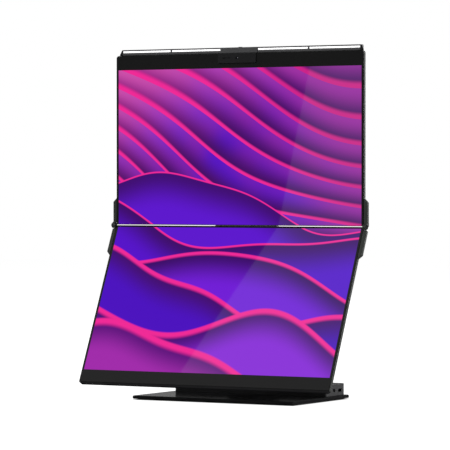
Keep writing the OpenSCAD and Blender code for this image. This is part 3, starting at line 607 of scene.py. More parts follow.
def screen_front(name, border):
    """A glass front with a printed black border round a lit picture of stacked sheets. The far
    sheets are bands: with s = (v + slope x + waves) / pitch, a band's place is the fraction of s.
    Each starts at a pink line, then clears from dark violet to its own hue. The near sheets are
    hills whose crest is v = c + a sin(f x + p) + b sin(g x + q) - slope x, each with a soft pink
    rim."""
    sizes = bpy.context.scene.monitor_sizes
    cell_end = span("upper_lcd_cell", in_upper)[1][2] / 1000
    low = cell_end - sizes.panel_margin - sizes.picture_height
    f = Finish(name, Specular_IOR_Level=0.0, Coat_IOR=1.135, Coat_Roughness=0.02,
               Emission_Strength=1.0)
    flat = f.node("ShaderNodeUVMap", {"uv_map": "flat"})
    x, v = (f.node("ShaderNodeSeparateXYZ", {}, (flat,), i) for i in (0, 1))
    half, tall = sizes.picture_width / 2, sizes.picture_height
    across = x.math("ABSOLUTE").math("LESS_THAN", half)
    up = v.math("ABSOLUTE")
    lit = across * up.math("GREATER_THAN", low) * up.math("LESS_THAN", low + tall)
    pink, night = srgb(240, 38, 150), srgb(66, 2, 96)
    corner = (v - x * 0.55).smooth(0.16, 0.46)
    right = (x * 0.9 + v * 0.5).smooth(0.05, 0.3)
    cloud = f.noise(7, 1, 0.5, flat).smooth(0.35, 0.65)
    hue = f.mix(right, f.mix(cloud, srgb(84, 14, 196), srgb(122, 26, 170)), srgb(152, 42, 160))
    hue = f.mix(corner, hue, srgb(206, 78, 168))
    waves = (x * 8 + 0.8).sin() * 0.034 + (x * 15 + v * 9 + 2.4).sin() * 0.012
    s = (v + x * BAND_SLOPE + waves + (v * 12 - x * 5 + 1.0).sin() * 0.016) / BAND_PITCH
    band = s.math("FRACT")
    blur = corner * 0.8 + right * 0.35
    width = blur * 0.07 + 0.07
    rim = 1 - band.smooth(width, width * 1.3 + blur * 0.25 + 0.06)
    shade = f.mix(corner, night, srgb(150, 30, 130))
    picture = f.mix(band.smooth(0.05, 1.0), shade, hue)
    picture = f.mix(rim * (1 - right * 0.35), picture, pink)
    for c, (a, fa, pa), (b, fb, pb), line, soft, deep, far in HILLS:
        crest = (x * fa + pa).sin() * a + (x * fb + pb).sin() * b + c - x * HILL_SLOPE
        down = crest - v
        body = f.mix(down.smooth(line, 0.075), srgb(*deep), srgb(*far))
        body = f.mix(1 - down.smooth(line, line + soft), body, pink)
        picture = f.mix(down.smooth(0.0, 0.0005 + soft * 0.4), picture, body)
    smear = f.noise(30, 4, 0.6).smooth(0.5, 0.8)
    # painted light: the lower screen's border is 1.9 times as bright as the upper one's, as if lit
    # from above
    border_with_painted_light = f.mix(v.math("LESS_THAN", -low), border, tint(border, 1.9))
    f.feed(
        Base_Color=f.mix(lit, border_with_painted_light, (0.001, 0.001, 0.0012)),
        Emission_Color=f.mix(lit, (0, 0, 0), picture),
        Coat_Weight=lit,
        Roughness=smear * 0.1 + 0.07,
    )
    return f.material


# Settings

FINE = {"subtype": "DISTANCE", "unit": "LENGTH", "precision": 5}


def size(name, description, default):
    """A length in metres that a user would change."""
    return bpy.props.FloatProperty(name=name, description=description, default=default, **FINE)


def colour(name, description, default):
    """A colour that a user would change."""
    return bpy.props.FloatVectorProperty(
        name=name, description=description, default=default, subtype="COLOR", size=3, min=0, max=1
    )


class MonitorSizes(bpy.types.PropertyGroup):
    """Sizes that finish the pieces. Their places and main sizes are read from the frame."""

    picture_width: size("Picture width", "Width of each lit picture", 0.52704)
    picture_height: size("Picture height", "Height of each lit picture", 0.29646)
    panel_margin: size("Panel margin", "How far the panel runs past the picture", 0.002)
    glass_rim: size("Glass rim", "Rim of the shell round the glass", 0.0007)
    shell_edge: size("Shell edge", "Rounding of a shell's rear edge", 0.0016)
    plate_edge: size("Plate edge", "Rounding of the base plate's edge", 0.0026)
    plate_corner: size("Plate corner", "Rounding of the base plate's corners", 0.0035)
    hub_edge: size("Hub edge", "Rounding of the hub's top edge", 0.0014)
    hub_wall: size("Hub wall", "Wall of the hub's housing", 0.002)
    cover_edge: size("Cover edge", "Rounding of a rear cover's edge", 0.0022)
    cover_wall: size("Cover wall", "Wall of a rear cover", 0.0018)
    arm_edge: size("Arm edge", "Rounding of the hinge arms' edges", 0.0008)
    neck_depth: size("Neck depth", "Depth of the neck", 0.024)
    neck_width: size("Neck width", "Width of the neck", 0.1)
    head_radius: size("Head radius", "Radius of the neck's head and the bracket's ears", 0.02)
    screw_depth: size("Screw recess", "Depth of the recesses in the screws", 0.0008)


class MonitorColours(bpy.types.PropertyGroup):
    """Colours of the finishes."""

    plate: colour("Plate", "Powder coat of the base plate", srgb(30, 30, 31))
    hub: colour("Hub", "Moulded housing of the hub", srgb(60, 60, 61))
    alloy: colour("Alloy", "Anodised neck and bracket", srgb(46, 46, 48))
    arm: colour("Arm", "Anodised hinge arms", srgb(47, 49, 47))
    shell: colour("Shell", "Anodised screen shells", srgb(42, 44, 42))
    border: colour("Border", "Printed border under the glass", srgb(32, 32, 32))
    chin: colour("Chin", "Trim under the lower screen", srgb(40, 40, 41))
    cover: colour("Cover", "Moulded rear covers", srgb(40, 40, 42))
    bar: colour("Bar", "Anodised light bar", srgb(62, 62, 63))
    black: colour("Black", "Black moulded plastic", srgb(29, 29, 30))
    # darker than the other black plastic: painted shade inside the ports
    socket: colour("Socket", "Black inserts of the sockets", srgb(8, 8, 8))
    opal: colour("Opal", "Diffusers of the light bar", (1.0, 1.0, 1.0))
    steel: colour("Steel", "Dark screws and axle", srgb(86, 86, 88))
    pin: colour("Pin", "Blackened lens barrel and washers", srgb(44, 44, 45))
    nickel: colour("Nickel", "Plated sockets", srgb(190, 190, 192))
    board: colour("Board", "Solder mask of the boards", (0.01, 0.06, 0.03))
    panel: colour("Panel", "Steel plates behind the pictures", srgb(150, 150, 152))
    guide: colour("Guide", "Acrylic of the light guides", (0.7, 0.75, 0.78))
    lens: colour("Lens", "Coated glass of the camera", (0.006, 0.006, 0.01))
    rubber: colour("Rubber", "Rubber feet", srgb(34, 34, 34))


# Material slot, maker and colour of each finish, with what else its maker takes
FINISHES = {
    "plate_powder_coat": ("steel_black", powder_coat, "plate"),
    "hub_moulding": ("hub_plastic", moulded, "hub"),
    "alloy_anodised": ("alloy_black", anodised, "alloy"),
    "arm_anodised": ("alloy_black", anodised, "arm"),
    "shell_anodised": ("shell_grey", anodised, "shell"),
    "bar_anodised": ("bar_grey", anodised, "bar"),
    "chin_moulding": ("black_plastic", moulded, "chin", 0.0),
    "cover_moulding": ("black_plastic", moulded, "cover"),
    "black_moulding": ("black_plastic", moulded, "black"),
    "matt_moulding": ("screw_steel", moulded, "black", 0.02),
    "socket_moulding": ("black_plastic", moulded, "socket", 0.0),
    "dark_steel": ("screw_steel", metal, "steel"),
    "black_steel": ("lens", metal, "pin"),
    "nickel_plate": ("connector_steel", metal, "nickel"),
    "panel_steel": (None, metal, "panel", 0.35, (0.05, 1, 1)),
    "circuit_board": (None, circuit, "board"),
    "guide_acrylic": (None, acrylic, "guide"),
    "foot_rubber": ("rubber", rubber, "rubber"),
    "opal_diffuser": ("diffuser", opal, "opal", 0.75),
    "lens_coating": ("lens", coated_lens, "lens"),
    "lit_glass": ("cover_glass", screen_front, "border"),
}
MADE = {}


def finish(name):
    """The material of that name, made the first time it is asked for."""
    if name not in MADE:
        _, maker, key, *more = FINISHES[name]
        MADE[name] = maker(name, tuple(getattr(bpy.context.scene.monitor_colours, key)), *more)
    return MADE[name]


def sizes_mm():
    """The sizes in millimetres, by name."""
    group = bpy.context.scene.monitor_sizes
    return {k: getattr(group, k) * 1000 for k in MonitorSizes.__annotations__}


def paint(coat, *nodes):
    """A finish on CAD nodes that stay."""
    for node in nodes:
        slots = frame["nodes"][node].data.materials
        slots.clear()
        slots.append(finish(coat))


def solids(node, place=in_base):
    """The box of each separate solid of a node: every triangle takes the lowest label among its
    corners until no label changes."""
    mesh = frame["nodes"][node].data
    points = node_points(node, place)
    unique, at = np.unique(points.round(3), axis=0, return_inverse=True)
    corners = np.empty(len(mesh.loops), int)
    mesh.loops.foreach_get("vertex_index", corners)
    tris = at.ravel()[corners].reshape(-1, 3)
    label = np.arange(len(unique))
    while True:
        before = label.copy()
        np.minimum.at(label, tris.ravel(), np.repeat(label[tris].min(1), 3))
        label = label[label]
        if (label == before).all():
            break
    groups = [unique[label == k] for k in np.unique(label[tris])]
    return [(g.min(0), g.max(0)) for g in groups]


def screw_heads(name, node, place, plane, way, thick, shaft, depth):
    """Round heads on their shafts, with a six-sided recess: its ring's radius is
    a / cos(t mod (turn / 6) - turn / 12), which makes it a hexagon."""
    skin, (i, _, k) = Skin(), AXES[plane]
    t = np.arange(48) * 2 * np.pi / 48
    side = 2 * np.pi / 6
    hexagon = 1 / np.cos(np.mod(t, side) - side / 2)
    ring = np.stack([np.cos(t), np.sin(t)], -1)
    for low, high in solids(node, place):
        r = (high[i] - low[i]) / 2
        top, tail = (high[k], low[k]) if way > 0 else (low[k], high[k])
        recess, length = r * 0.5 * hexagon, abs(top - tail)
        # radius, depth under the top of the head, wear
        rows = (
            (recess, depth, 0), (recess, 0.1, 0.4), (recess + 0.1, 0, 1), (r - 0.45, 0, 0),
            (r - 0.12, 0.13, 1), (r, 0.45, 0), (r, thick, 0), (shaft, thick, 0),
            (shaft, length - 0.4, 0), (shaft - 0.4, length, 0),
        )
        centre = middle(low, high, plane)
        rings = [lay(ring * np.broadcast_to(q, 48)[:, None] + centre, top - way * d, plane)
                 for q, d, _ in rows]
        skin.shell(rings, [wear for _, _, wear in rows])
    piece(name, skin, place, "dark_steel", [node])


class MONITOR_OT_base_plate(bpy.types.Operator):
    """Base plate with rounded edges, and the recesses under it for feet, screws and bolts"""

    bl_idname = "monitor.base_plate"
    bl_label = "Base Plate"

    def execute(self, context):
        s = sizes_mm()
        low, high = span("base_plate")
        outline = rectangle(*low[:2], *high[:2], s["plate_corner"], 8)
        skin = Skin().slab(outline, low[2], high[2], s["plate_edge"], s["plate_edge"], "xy", 6)
        recesses = Skin()
        for node, gap, depth in (
            ("base_feet", 0.2, 0.6), ("hub_screws", 0.3, 2.5), ("neck_bolts", 0.5, 3)
        ):
            for a, b in solids(node):
                r = (b[0] - a[0]) / 2 + gap
                recesses.rod(middle(a, b), r, -PAST, low[2] + depth, "xy", 40)
        piece("plate", skin, in_base, "plate_powder_coat", ["base_plate"], [recesses])
        return {"FINISHED"}


class MONITOR_OT_feet(bpy.types.Operator):
    """Rubber feet, each with a raised ring that bears on the table"""

    bl_idname = "monitor.feet"
    bl_label = "Feet"

    def execute(self, context):
        skin = Skin()
        for a, b in solids("base_feet"):
            r, z = (b[0] - a[0]) / 2, a[2]
            rows = [(0, z + 0.35), (r * 0.45, z + 0.35), (r * 0.52, z + 0.05), (r * 0.56, z),
                    (r * 0.86, z), (r * 0.95, z + 0.12), (r, z + 0.45), (r, b[2]), (0, b[2])]
            skin.lathe(rows, middle(a, b), "xy", 40)
        piece("feet", skin, in_base, "foot_rubber", ["base_feet"])
        return {"FINISHED"}


PORT_DEPTH = 4
BUTTON_HOLE = 4.3


def port_cutters(cut, node, plane, face):
    """Windows through a wall, a little larger than the sockets that stand in them."""
    i, j, _ = AXES[plane]
    for a, b in solids(node):
        a, b = a - 0.2, b + 0.2
        cut.slab(rectangle(a[i], a[j], b[i], b[j], 0.7, 4), face - PORT_DEPTH, face + PAST,
                 plane=plane)


def jack_mouth():
    """The oblong window in the hub's side round the audio jack."""
    y, z = middle(*span("side_audio_jack"), "yz")
    half_wide, half_tall = 4.3, 3.3
    return rectangle(y - half_wide, z - half_tall, y + half_wide, z + half_tall, 3.1, 8)


class MONITOR_OT_hub(bpy.types.Operator):
    """Hub housing: a hollow block with windows for its sockets, its button and the neck"""

    bl_idname = "monitor.hub"
    bl_label = "Hub"

    def execute(self, context):
        s = sizes_mm()
        low, high = span("hub_shell")
        wall, (right, back, top) = s["hub_wall"], high
        outline = rectangle(*low[:2], *high[:2], 3, 8)
        skin = Skin().slab(outline, low[2], top, 0, s["hub_edge"], "xy", 5)
        room = rectangle(low[0] + wall, low[1] + wall, right - wall, back - wall, 1.5)
        inner = Skin().slab(room, low[2] - PAST, top - wall, 0, 0, "xy")
        ports = Skin()
        port_cutters(ports, "side_usb_a_port", "yz", right)
        for node in ("rear_usb_a_ports", "rear_usb_c_port", "rear_hdmi_ports", "rear_lan_port",
                     "power_inlet"):
            port_cutters(ports, node, "xz", back)
        ports.slab(jack_mouth(), right - PORT_DEPTH, right + PAST, plane="yz")
        ports.rod(middle(*span("power_button"), "xz"), BUTTON_HOLE, back - PORT_DEPTH,
                  back + PAST, "xz")
        neck = Skin().slab(neck_section(s, 0.5), 0, 40, plane="xy").turned(in_neck_mm)
        bosses, step = Skin(), span("side_usb_a_port")[0][2]
        wide, slim, bore = 4.5, 3, 1.6
        foot, roof = low[2] + 0.1, top - wall + 0.5
        for a, b in solids("hub_screws"):
            pit = b[2] + 2
            rows = [(0, roof), (wide, roof), (wide, step), (slim, step), (slim, foot),
                    (bore, foot), (bore, pit), (0, pit)]
            bosses.lathe(rows, middle(a, b), "xy", 32)
        piece("hub_housing", skin, in_base, "hub_moulding", ["hub_shell"], [inner, ports, neck],
              (), [bosses])
        return {"FINISHED"}


class MONITOR_OT_sockets(bpy.types.Operator):
    """Sockets: plated sleeves with rounded mouths, each round a black insert with its tongue. The
    side sleeve is near black in place of plating, and the inserts and jack are darker than the
    other
    black plastic: painted shade in the ports
    """

    bl_idname = "monitor.sockets"
    bl_label = "Sockets"

    def execute(self, context):
        # name, node, plane of its mouth, wall of its sleeve, its tongue's thickness or 0 for pins
        for name, node, plane, wall, tongue in (
            ("side_usb", "side_usb_a_port", "yz", 0.4, 1.7),
            ("rear_usb", "rear_usb_a_ports", "xz", 0.4, 1.7),
            ("rear_usb_c", "rear_usb_c_port", "xz", 0.4, 0.7),
            ("rear_hdmi", "rear_hdmi_ports", "xz", 0.5, 1.3),
            ("rear_lan", "rear_lan_port", "xz", 1.9, 0),
            ("power", "power_inlet", "xz", 0.4, 0.7),
        ):
            sleeve, hollow, insert = Skin(), Skin(), Skin()
            i, j, k = AXES[plane]
            for a, b in solids(node):
                outer = rectangle(a[i], a[j], b[i], b[j], min(1.2, (b[j] - a[j]) * 0.3), 5)
                floor, mouth = a[k] + 2, b[k]
                sleeve.slab(outer, a[k], mouth, 0, 0.12, plane)
                hollow.slab(outer.inset(wall), floor, mouth + PAST, plane=plane)
                insert.slab(outer.inset(wall + 0.02), floor, floor + 1, plane=plane)
                root, left, right = floor + 0.9, a[i] + wall, b[i] - wall
                if tongue:
                    mid = (a[j] + b[j]) / 2
                    flat = rectangle(left + 1, mid - tongue / 2, right - 1, mid + tongue / 2,
                                     0.2, 3)
                    insert.slab(flat, root, mouth - 1.5, 0, 0.2, plane, 2)
                    continue
                half, pin_top = 0.25, b[j] - wall - 1.7
                for x in np.linspace(left + 2, right - 2, 8):
                    insert.block((x - half, root, pin_top - 0.5), (x + half, mouth - 5, pin_top))
            # the side sleeve takes the socket's near black instead of plating: painted shade in its
            # mouth
            coat = "socket_moulding" if name == "side_usb" else "nickel_plate"
            piece(name + "_sleeve", sleeve, in_base, coat, [node], [hollow])
            piece(name + "_insert", insert, in_base, "socket_moulding")
        a, b = span("side_audio_jack")
        centre, side, face = middle(a, b, "yz"), b[0], b[0] - 0.6
        body = Skin().slab(rectangle(a[1], a[2], b[1], b[2], 0.5), a[0], side - 2.1, plane="yz")
        collar = Skin().slab(jack_mouth().inset(0.1), side - 2.6, side - 1.1, 0, 0.2, "yz")
        rows = [(0, face - 1.9), (2.9, face - 1.9), (2.9, face - 0.35), (2.7, face - 0.1),
                (2.55, face), (2.25, face), (1.85, face - 0.35), (0, face - 0.4)]
        nose = Skin().lathe(rows, centre, "yz")
        bore = Skin().rod(centre, 1.8, a[0] + 1, side + PAST, "yz")
        piece("jack_body", body, in_base, "socket_moulding", ["side_audio_jack"], [bore],
              [collar, nose])
        return {"FINISHED"}


def neck_line():
    """The neck's foot on the plate, and the way from there to the tilt axis."""
    foot = np.array([0, middle(*span("neck_bolts"))[1], span("base_plate")[1][2]])
    return foot, TILT - foot


def in_neck_mm(p):
    """Turned about X so that +Z runs from the neck's foot to the tilt axis."""
    foot, rise = neck_line()
    length = math.hypot(rise[1], rise[2])
    c, s = rise[2] / length, -rise[1] / length
    x, y, z = np.moveaxis(p, -1, 0)
    return np.stack([x, y * c - z * s, y * s + z * c], -1) + foot


def neck_section(s, grow=0.0):
    """The neck's cross section, or a larger one to cut a window for it."""
    w, d = s["neck_width"] / 2 + grow, s["neck_depth"] / 2 + grow
    return rectangle(-w, -d, w, d, 4 + grow, 8)


AXLE_BORE = 6.05


class MONITOR_OT_neck(bpy.types.Operator):
    """Neck: a leaning stem welded to its foot flange and its round head, with a rear cover"""

    bl_idname = "monitor.neck"
    bl_label = "Neck"

    def execute(self, context):
        s = sizes_mm()
        foot, rise = neck_line()
        length = math.hypot(rise[1], rise[2])
        r, back, half = s["head_radius"], s["neck_depth"] / 2, 52.0
        stem = Skin().slab(neck_section(s), 2.5, length, plane="xy").turned(in_neck_mm)
        rows = [(0, -half), (r - 2, -half), (r - 0.6, -half + 0.6), (r, -half + 2), (r, half - 2),
                (r - 0.6, half - 0.6), (r - 2, half), (0, half)]
        head = Skin().lathe(rows, TILT[1:], "yz", 72)
        toe = back + 3
        flange = Skin().slab(rectangle(-59, foot[1] - toe, 59, foot[1] + toe, 3), foot[2],
                             foot[2] + 5, 0, 1, "xy")
        # the cover's recess in the back of the stem, and the cable channel under it
        wide, start, end = 37, 26.0, length - r - 8
        recess = Skin().slab(rectangle(-wide, start, wide, end, 2), back - 2, back + 3)
        channel = Skin().slab(rectangle(-32, start - 10, 32, end - 6, 3), back - 15, back + 3)
        holes = Skin().rod(TILT[1:], AXLE_BORE, -half - PAST, half + PAST, "yz")
        for a, b in solids("neck_bolts"):
            holes.rod(middle(a, b), 2.55, 0, b[2] + 2, "xy", 24)
        cuts = [recess.turned(in_neck_mm), channel.turned(in_neck_mm), holes]
        piece("neck_stem", stem, in_base, "alloy_anodised", ["neck_column"], cuts, [head, flange])
        gap = 0.2
        flat = rectangle(-wide + gap, start + gap, wide - gap, end - gap, 1.9)
        cover = Skin().slab(flat, back - 1.9, back, 0, 0.5).turned(in_neck_mm)
        grip, deep = Skin(), 0.7
        for i in range(3):
            z = start + 9 + i * 3.2
            grip.slab(rectangle(-9, z, 9, z + 1.4, 0.7), back - deep, back + PAST)
        piece("neck_rear_cover", cover, in_base, "cover_moulding", ["neck_cover"],
              [grip.turned(in_neck_mm)])
        return {"FINISHED"}


def tangent(p, c, r, way):
    """The far end of a line from p that touches a circle: it lies at angle a +- asin(r / d)."""
    p, c = np.asarray(p, float), np.asarray(c, float)
    d = np.linalg.norm(c - p)
    a = math.atan2(*(c - p)[::-1]) + way * math.asin(r / d)
    return p + math.sqrt(d * d - r * r) * np.array([math.cos(a), math.sin(a)])


class MONITOR_OT_tilt_hinge(bpy.types.Operator):
    """Tilt hinge: a bracket with two round-ended ears, its caps, axle, springs and nut"""

    bl_idname = "monitor.tilt_hinge"
    bl_label = "Tilt Hinge"

    def execute(self, context):
        r, centre = sizes_mm()["head_radius"], from_lower(TILT / 1000)[1:]
        low, high = span("tilt_bracket", in_lower)
        screw_low, screw_high = span("bracket_screws", in_lower)
        margin, face, ear_in, ear_out = 8.4, low[1], 52.4, high[0]
        z0, z1 = screw_low[2] - margin, screw_high[2] + margin
        ends = [tangent((face, z), centre, r, way) - centre for z, way in ((z0, -1), (z1, 1))]
        a, b = (math.atan2(e[1], e[0]) for e in ends)
        b += 2 * math.pi * (b < a)
        t = np.linspace(a, b, 40)
        arc = np.stack([np.cos(t), np.sin(t)], -1) * r + centre
        outline = Outline(np.concatenate([[[face, z1], [face, z0]], arc]), n=0)
        plate = Skin().slab(rectangle(-ear_out, z0, ear_out, z1, 1), face, face + 3, 0, 0.5)
        ears, pockets, caps = [], Skin(), Skin()
        spring_r, spring_floor, out = 12.5, ear_out - 9.5, ear_out + PAST
        cap_floor = ear_out - 1.6
        pocket_rows = [(0, 50), (AXLE_BORE, 50), (AXLE_BORE, spring_floor),
                       (spring_r, spring_floor), (spring_r, out), (0, out)]
        cap_rows = [(0, 0), (12.2, 0), (12.2, 0.9), (11.8, 1.3), (9.4, 1.3), (9.2, 1.1),
                    (8.9, 1.1), (8.7, 1.35), (4, 1.55), (0, 1.6)]
        for side in (-1, 1):
            ears.append(Skin().slab(outline, side * ear_in, side * ear_out, 0.5, 1.2, "yz", 5))
            pockets.lathe([(q, side * d) for q, d in pocket_rows], centre, "yz")
            caps.lathe([(q, side * (cap_floor + d)) for q, d in cap_rows], centre, "yz", 64)
        for a, b in solids("bracket_screws", in_lower):
            pockets.rod(middle(a, b, "xz"), 2.1, face - PAST, face + 4, "xz", 24)
        piece("tilt_bracket_body", plate, in_lower, "alloy_anodised", ["tilt_bracket"], [pockets],
              ears)
        piece("tilt_ear_caps", caps, in_lower, "black_moulding", ["tilt_caps"])
        paint("dark_steel", "tilt_axle", "tilt_disc_springs", "tilt_nut")
        return {"FINISHED"}


def screen_outline(low, high, hinge_r, end_r):
    """A screen's outline, with one radius at its hinge edge and another at its far edge."""
    x = high[0]
    return rectangle(-x, low[2], x, high[2], [hinge_r] * 2 + [end_r] * 2, 8)


class MONITOR_OT_shells(bpy.types.Operator):
    """Screen shells: trays whose thin rims frame the glass, with rounded rear edges"""

    bl_idname = "monitor.shells"
    bl_label = "Screen Shells"

    def execute(self, context):
        s = sizes_mm()
        rim, edge, sheet = s["glass_rim"], s["shell_edge"], 1.2
        for side, place, end_r in (("upper", in_upper, 5.0), ("lower", in_lower, 0.1)):
            low, high = span(side + "_shell", place)
            front, back = low[1], span(side + "_panel_plate", place)[1][1] + 0.1 + sheet
            # inset, depth and wear-and-shade mark: the rim round the glass, marked -1 and so
            # painted near black as shade, then the outside
            rows = [[rim, back - sheet, -1], [rim, front + 0.12, -1], [rim - 0.1, front, -1],
                    [0.3, front, -1], [0.09, front + 0.09, -1], [0, front + 0.3, -1],
                    [0, front + 0.35, 0]]
            rows += edge_profile(front + 0.3, back, 0, edge, 4)[1:].tolist()
            base = screen_outline(low, high, 2, end_r)
            rings = [lay(base.inset(i).drawn(), d, "xz") for i, d, _ in rows]
            skin = Skin().shell(rings, [wear for _, _, wear in rows])
            posts, root = Skin(), back - 0.5
            (left, _, foot), (right, cover_back, head) = span(side + "_rear_cover", place)
            top, bore, blind = cover_back - s["cover_wall"], 1.6, back + 0.1
            for a, b in solids(side + "_cover_screws", place):
                rows = [(0, root), (3.6, root), (3.6, top), (bore, top), (bore, blind), (0, blind)]
                posts.lathe(rows, middle(a, b, "xz"), "xz", 32)
            stub = [(0, root), (3, root), (3, back + 3.7), (2.8, back + 3.9), (0, back + 3.9)]
            for x in (left + 30, right - 30):
                for z in (foot + 22, head - 22):
                    posts.lathe(stub, (x, z), "xz", 32)
            leads = rectangle(-40, foot + 8, 40, foot + 16, 2)
            window = Skin().slab(leads, back - 2.2, back + PAST)
            piece(side + "_tray", skin, place, "shell_anodised", [side + "_shell"], [window], (),
                  [posts])
        return {"FINISHED"}


class MONITOR_OT_fronts(bpy.types.Operator):
    """Glass fronts with polished edges, over the lit pictures"""

    bl_idname = "monitor.fronts"
    bl_label = "Screen Fronts"

    def execute(self, context):
        pod_low, pod_high = span("camera_pod", in_upper)
        for side, place, way, end_r in (("upper", in_upper, 1, 4.2), ("lower", in_lower, -1, 0.2)):
            low, high = span(side + "_glass", place)
            outline = screen_outline(low, high, 1.2, end_r)
            skin = Skin().slab(outline, low[1], high[1], 0.2, 0, "xz", 3)
            notch, gap = Skin(), 0.1
            notch.block((pod_low[0] - gap, low[1] - PAST, pod_low[2] - gap),
                        (pod_high[0] + gap, high[1] + PAST, high[2] + 2))
            glass = piece(side + "_front", skin, place, "lit_glass", [side + "_glass"],
                          [notch] if side == "upper" else [])
            flat_map(glass, place, way)
            flat_map(frame["nodes"][side + "_lcd_cell"], place, way)
            paint("lit_glass", side + "_lcd_cell")
        return {"FINISHED"}


def flat_map(obj, place, way):
    """A UV map in metres: u is the place's x and v its z, counted up from the fold axis."""
    mesh = obj.data
    co = np.empty(len(mesh.vertices) * 3)
    mesh.vertices.foreach_get("co", co)
    local = BACK_TO_LOCAL[place](co.reshape(-1, 3)) / 1000
    corners = np.empty(len(mesh.loops), int)
    mesh.loops.foreach_get("vertex_index", corners)
    uv = np.stack([local[corners, 0], local[corners, 2] * way], -1)
    layer = mesh.uv_layers.get("flat") or mesh.uv_layers.new(name="flat")
    layer.data.foreach_set("uv", uv.astype(np.float32).ravel())


class MONITOR_OT_chin(bpy.types.Operator):
    """Chin trim: a bevelled lip under the lower screen, with sound slots"""

    bl_idname = "monitor.chin"
    bl_label = "Chin Trim"

    def execute(self, context):
        low, high = span("lower_chin_trim", in_lower)
        (_, y, z0), z1 = low, high[2]
        # drawn taller for its corner arcs, and cut back to its height
        taller = low - (0, 0, 4)
        skin = Skin().slab(screen_outline(taller, high, 0.3, 5), y, high[1], 0.05,
                           sizes_mm()["shell_edge"], "xz", 4)
        above = Skin().block(taller - PAST, (high[0] + PAST, high[1] + PAST, z0))
        bevel_foot, bevel_in = z0 - 0.05, y + 2.4
        wedge = Outline([[y - PAST, bevel_foot], [y, bevel_foot], [bevel_in, z1],
                         [bevel_in, z1 + PAST], [y - PAST, z1 + PAST]], n=0)
        bevel = Skin().slab(wedge, low[0] - PAST, high[0] + PAST, plane="yz")
        slots, front, back = Skin(), y + 4.2, high[1] - 1.6
        for side in (-1, 1):
            for i in range(12):
                x = side * (150 + i * 5)
                slots.slab(rectangle(x - 1, front, x + 1, back, 0.9), z0 + 1.2, z1 + PAST,
                           plane="xy")
        piece("chin_lip", skin, in_lower, "chin_moulding", ["lower_chin_trim"],
              [above, bevel, slots])
        return {"FINISHED"}


class MONITOR_OT_covers(bpy.types.Operator):
    """Rear covers: shallow boxes with vent slots, screw pockets and a button hole"""

    bl_idname = "monitor.covers"
    bl_label = "Rear Covers"

    def execute(self, context):
        s = sizes_mm()
        wall = s["cover_wall"]
        for side, place in (("upper", in_upper), ("lower", in_lower)):
            low, high = span(side + "_rear_cover", place)
            (left, front, foot), (right, back, head) = low, high
            outline = rectangle(left, foot, right, head, 6, 8)
            skin = Skin().slab(outline, front, back, 0, s["cover_edge"], "xz", 5)
            hollow = Skin().slab(outline.inset(wall), front - 0.5, back - wall)
            inside, vents, holes = back - wall - PAST, Skin(), Skin()
            for i in range(26):
                x = (i - 12.5) * 8
                vents.slab(rectangle(x - 1.2, head - 34, x + 1.2, head - 16, 1.1, 4), inside,
                           back + PAST)
            for a, b in solids(side + "_cover_screws", place):
                centre = middle(a, b, "xz")
                holes.rod(centre, 3.1, back - 0.9, back + PAST, "xz")
                holes.rod(centre, 1.8, back - 5, back - 0.95, "xz")
            holes.rod(middle(*span(side + "_menu_button", place), "xz"), BUTTON_HOLE, inside,
                      back + PAST, "xz")
            piece(side + "_cover", skin, place, "cover_moulding", [side + "_rear_cover"],
                  [hollow, vents, holes])
        return {"FINISHED"}


class MONITOR_OT_screws(bpy.types.Operator):
    """Screws and bolts with six-sided recesses"""

    bl_idname = "monitor.screws"
    bl_label = "Screws"

    def execute(self, context):
        depth = sizes_mm()["screw_depth"]
        # name, node, place, plane, way of the head, its thickness, and the shaft's radius
        for name, node, place, plane, way, thick, shaft in (
            ("hub_screw", "hub_screws", in_base, "xy", -1, 2.0, 1.5),
            ("neck_bolt", "neck_bolts", in_base, "xy", -1, 2.6, 2.5),
            ("bracket_screw", "bracket_screws", in_lower, "xz", 1, 2.15, 2),
            ("lower_cover_screw", "lower_cover_screws", in_lower, "xz", 1, 0.7, 1.5),
            ("upper_cover_screw", "upper_cover_screws", in_upper, "xz", 1, 0.7, 1.5),
        ):
            screw_heads(name + "_heads", node, place, plane, way, thick, shaft,
                        min(depth, thick * 0.7))
        return {"FINISHED"}


def hinge_arm(screen, place, hand, way, front, knuckle, edge):
    """One arm: a chamfered bar on the screen's side, with a web to its half of the knuckle. The
    lower screen's half lies inside the upper one's."""
    node = f"{screen}_arm_{hand}"
    low, high = span(node, place)
    x_in, x_out = (low[0], high[0]) if way > 0 else (high[0], low[0])
    reach, width, clear, depth = high[2], abs(x_out - x_in), knuckle + 0.3, high[1]
    flat = Outline([[x_in, clear], [x_out, clear], [x_out, reach - width], [x_in, reach]],
                   [0.1, 0.6, 2.5, 0.4], 6)
    arm = Skin().slab(flat, front, depth, edge, edge, "xz", 4)
    mid, gap = (x_in + x_out) / 2, way * 0.25
    start, end = (x_in + way * 0.03, mid - gap) if screen == "lower" else (mid + gap, x_out)
    rows = [(0, start), (knuckle - 0.6, start), (knuckle, start + way * 0.5),
            (knuckle, end - way * 0.7), (knuckle - 0.25, end - way * 0.2), (knuckle - 0.8, end),
            (0, end)]
    # every ring of the knuckle is marked -1, which paints it near black
    barrel = Skin().lathe(rows, (0, 0), "yz", 56, [-1] * 5)
    flat = Outline([[3, 0], [depth - 0.02, 0], [depth - 0.02, clear + 1], [0.3, clear + 1],
                    [0.3, 3], [3, 3]], [0.1, 1.2, 0.1, 0.1, 0.1, 0.1])
    web = Skin().slab(flat, start + way * 0.04, end - way * 0.04, 0.2, 0.2, "yz", 2)
    bore = Skin().rod((0, 0), 2.05, x_in - way, x_out + way, "yz", 32)
    piece(f"{screen}_hinge_arm_{hand}", arm, place, "arm_anodised", [node], [bore], [web, barrel])


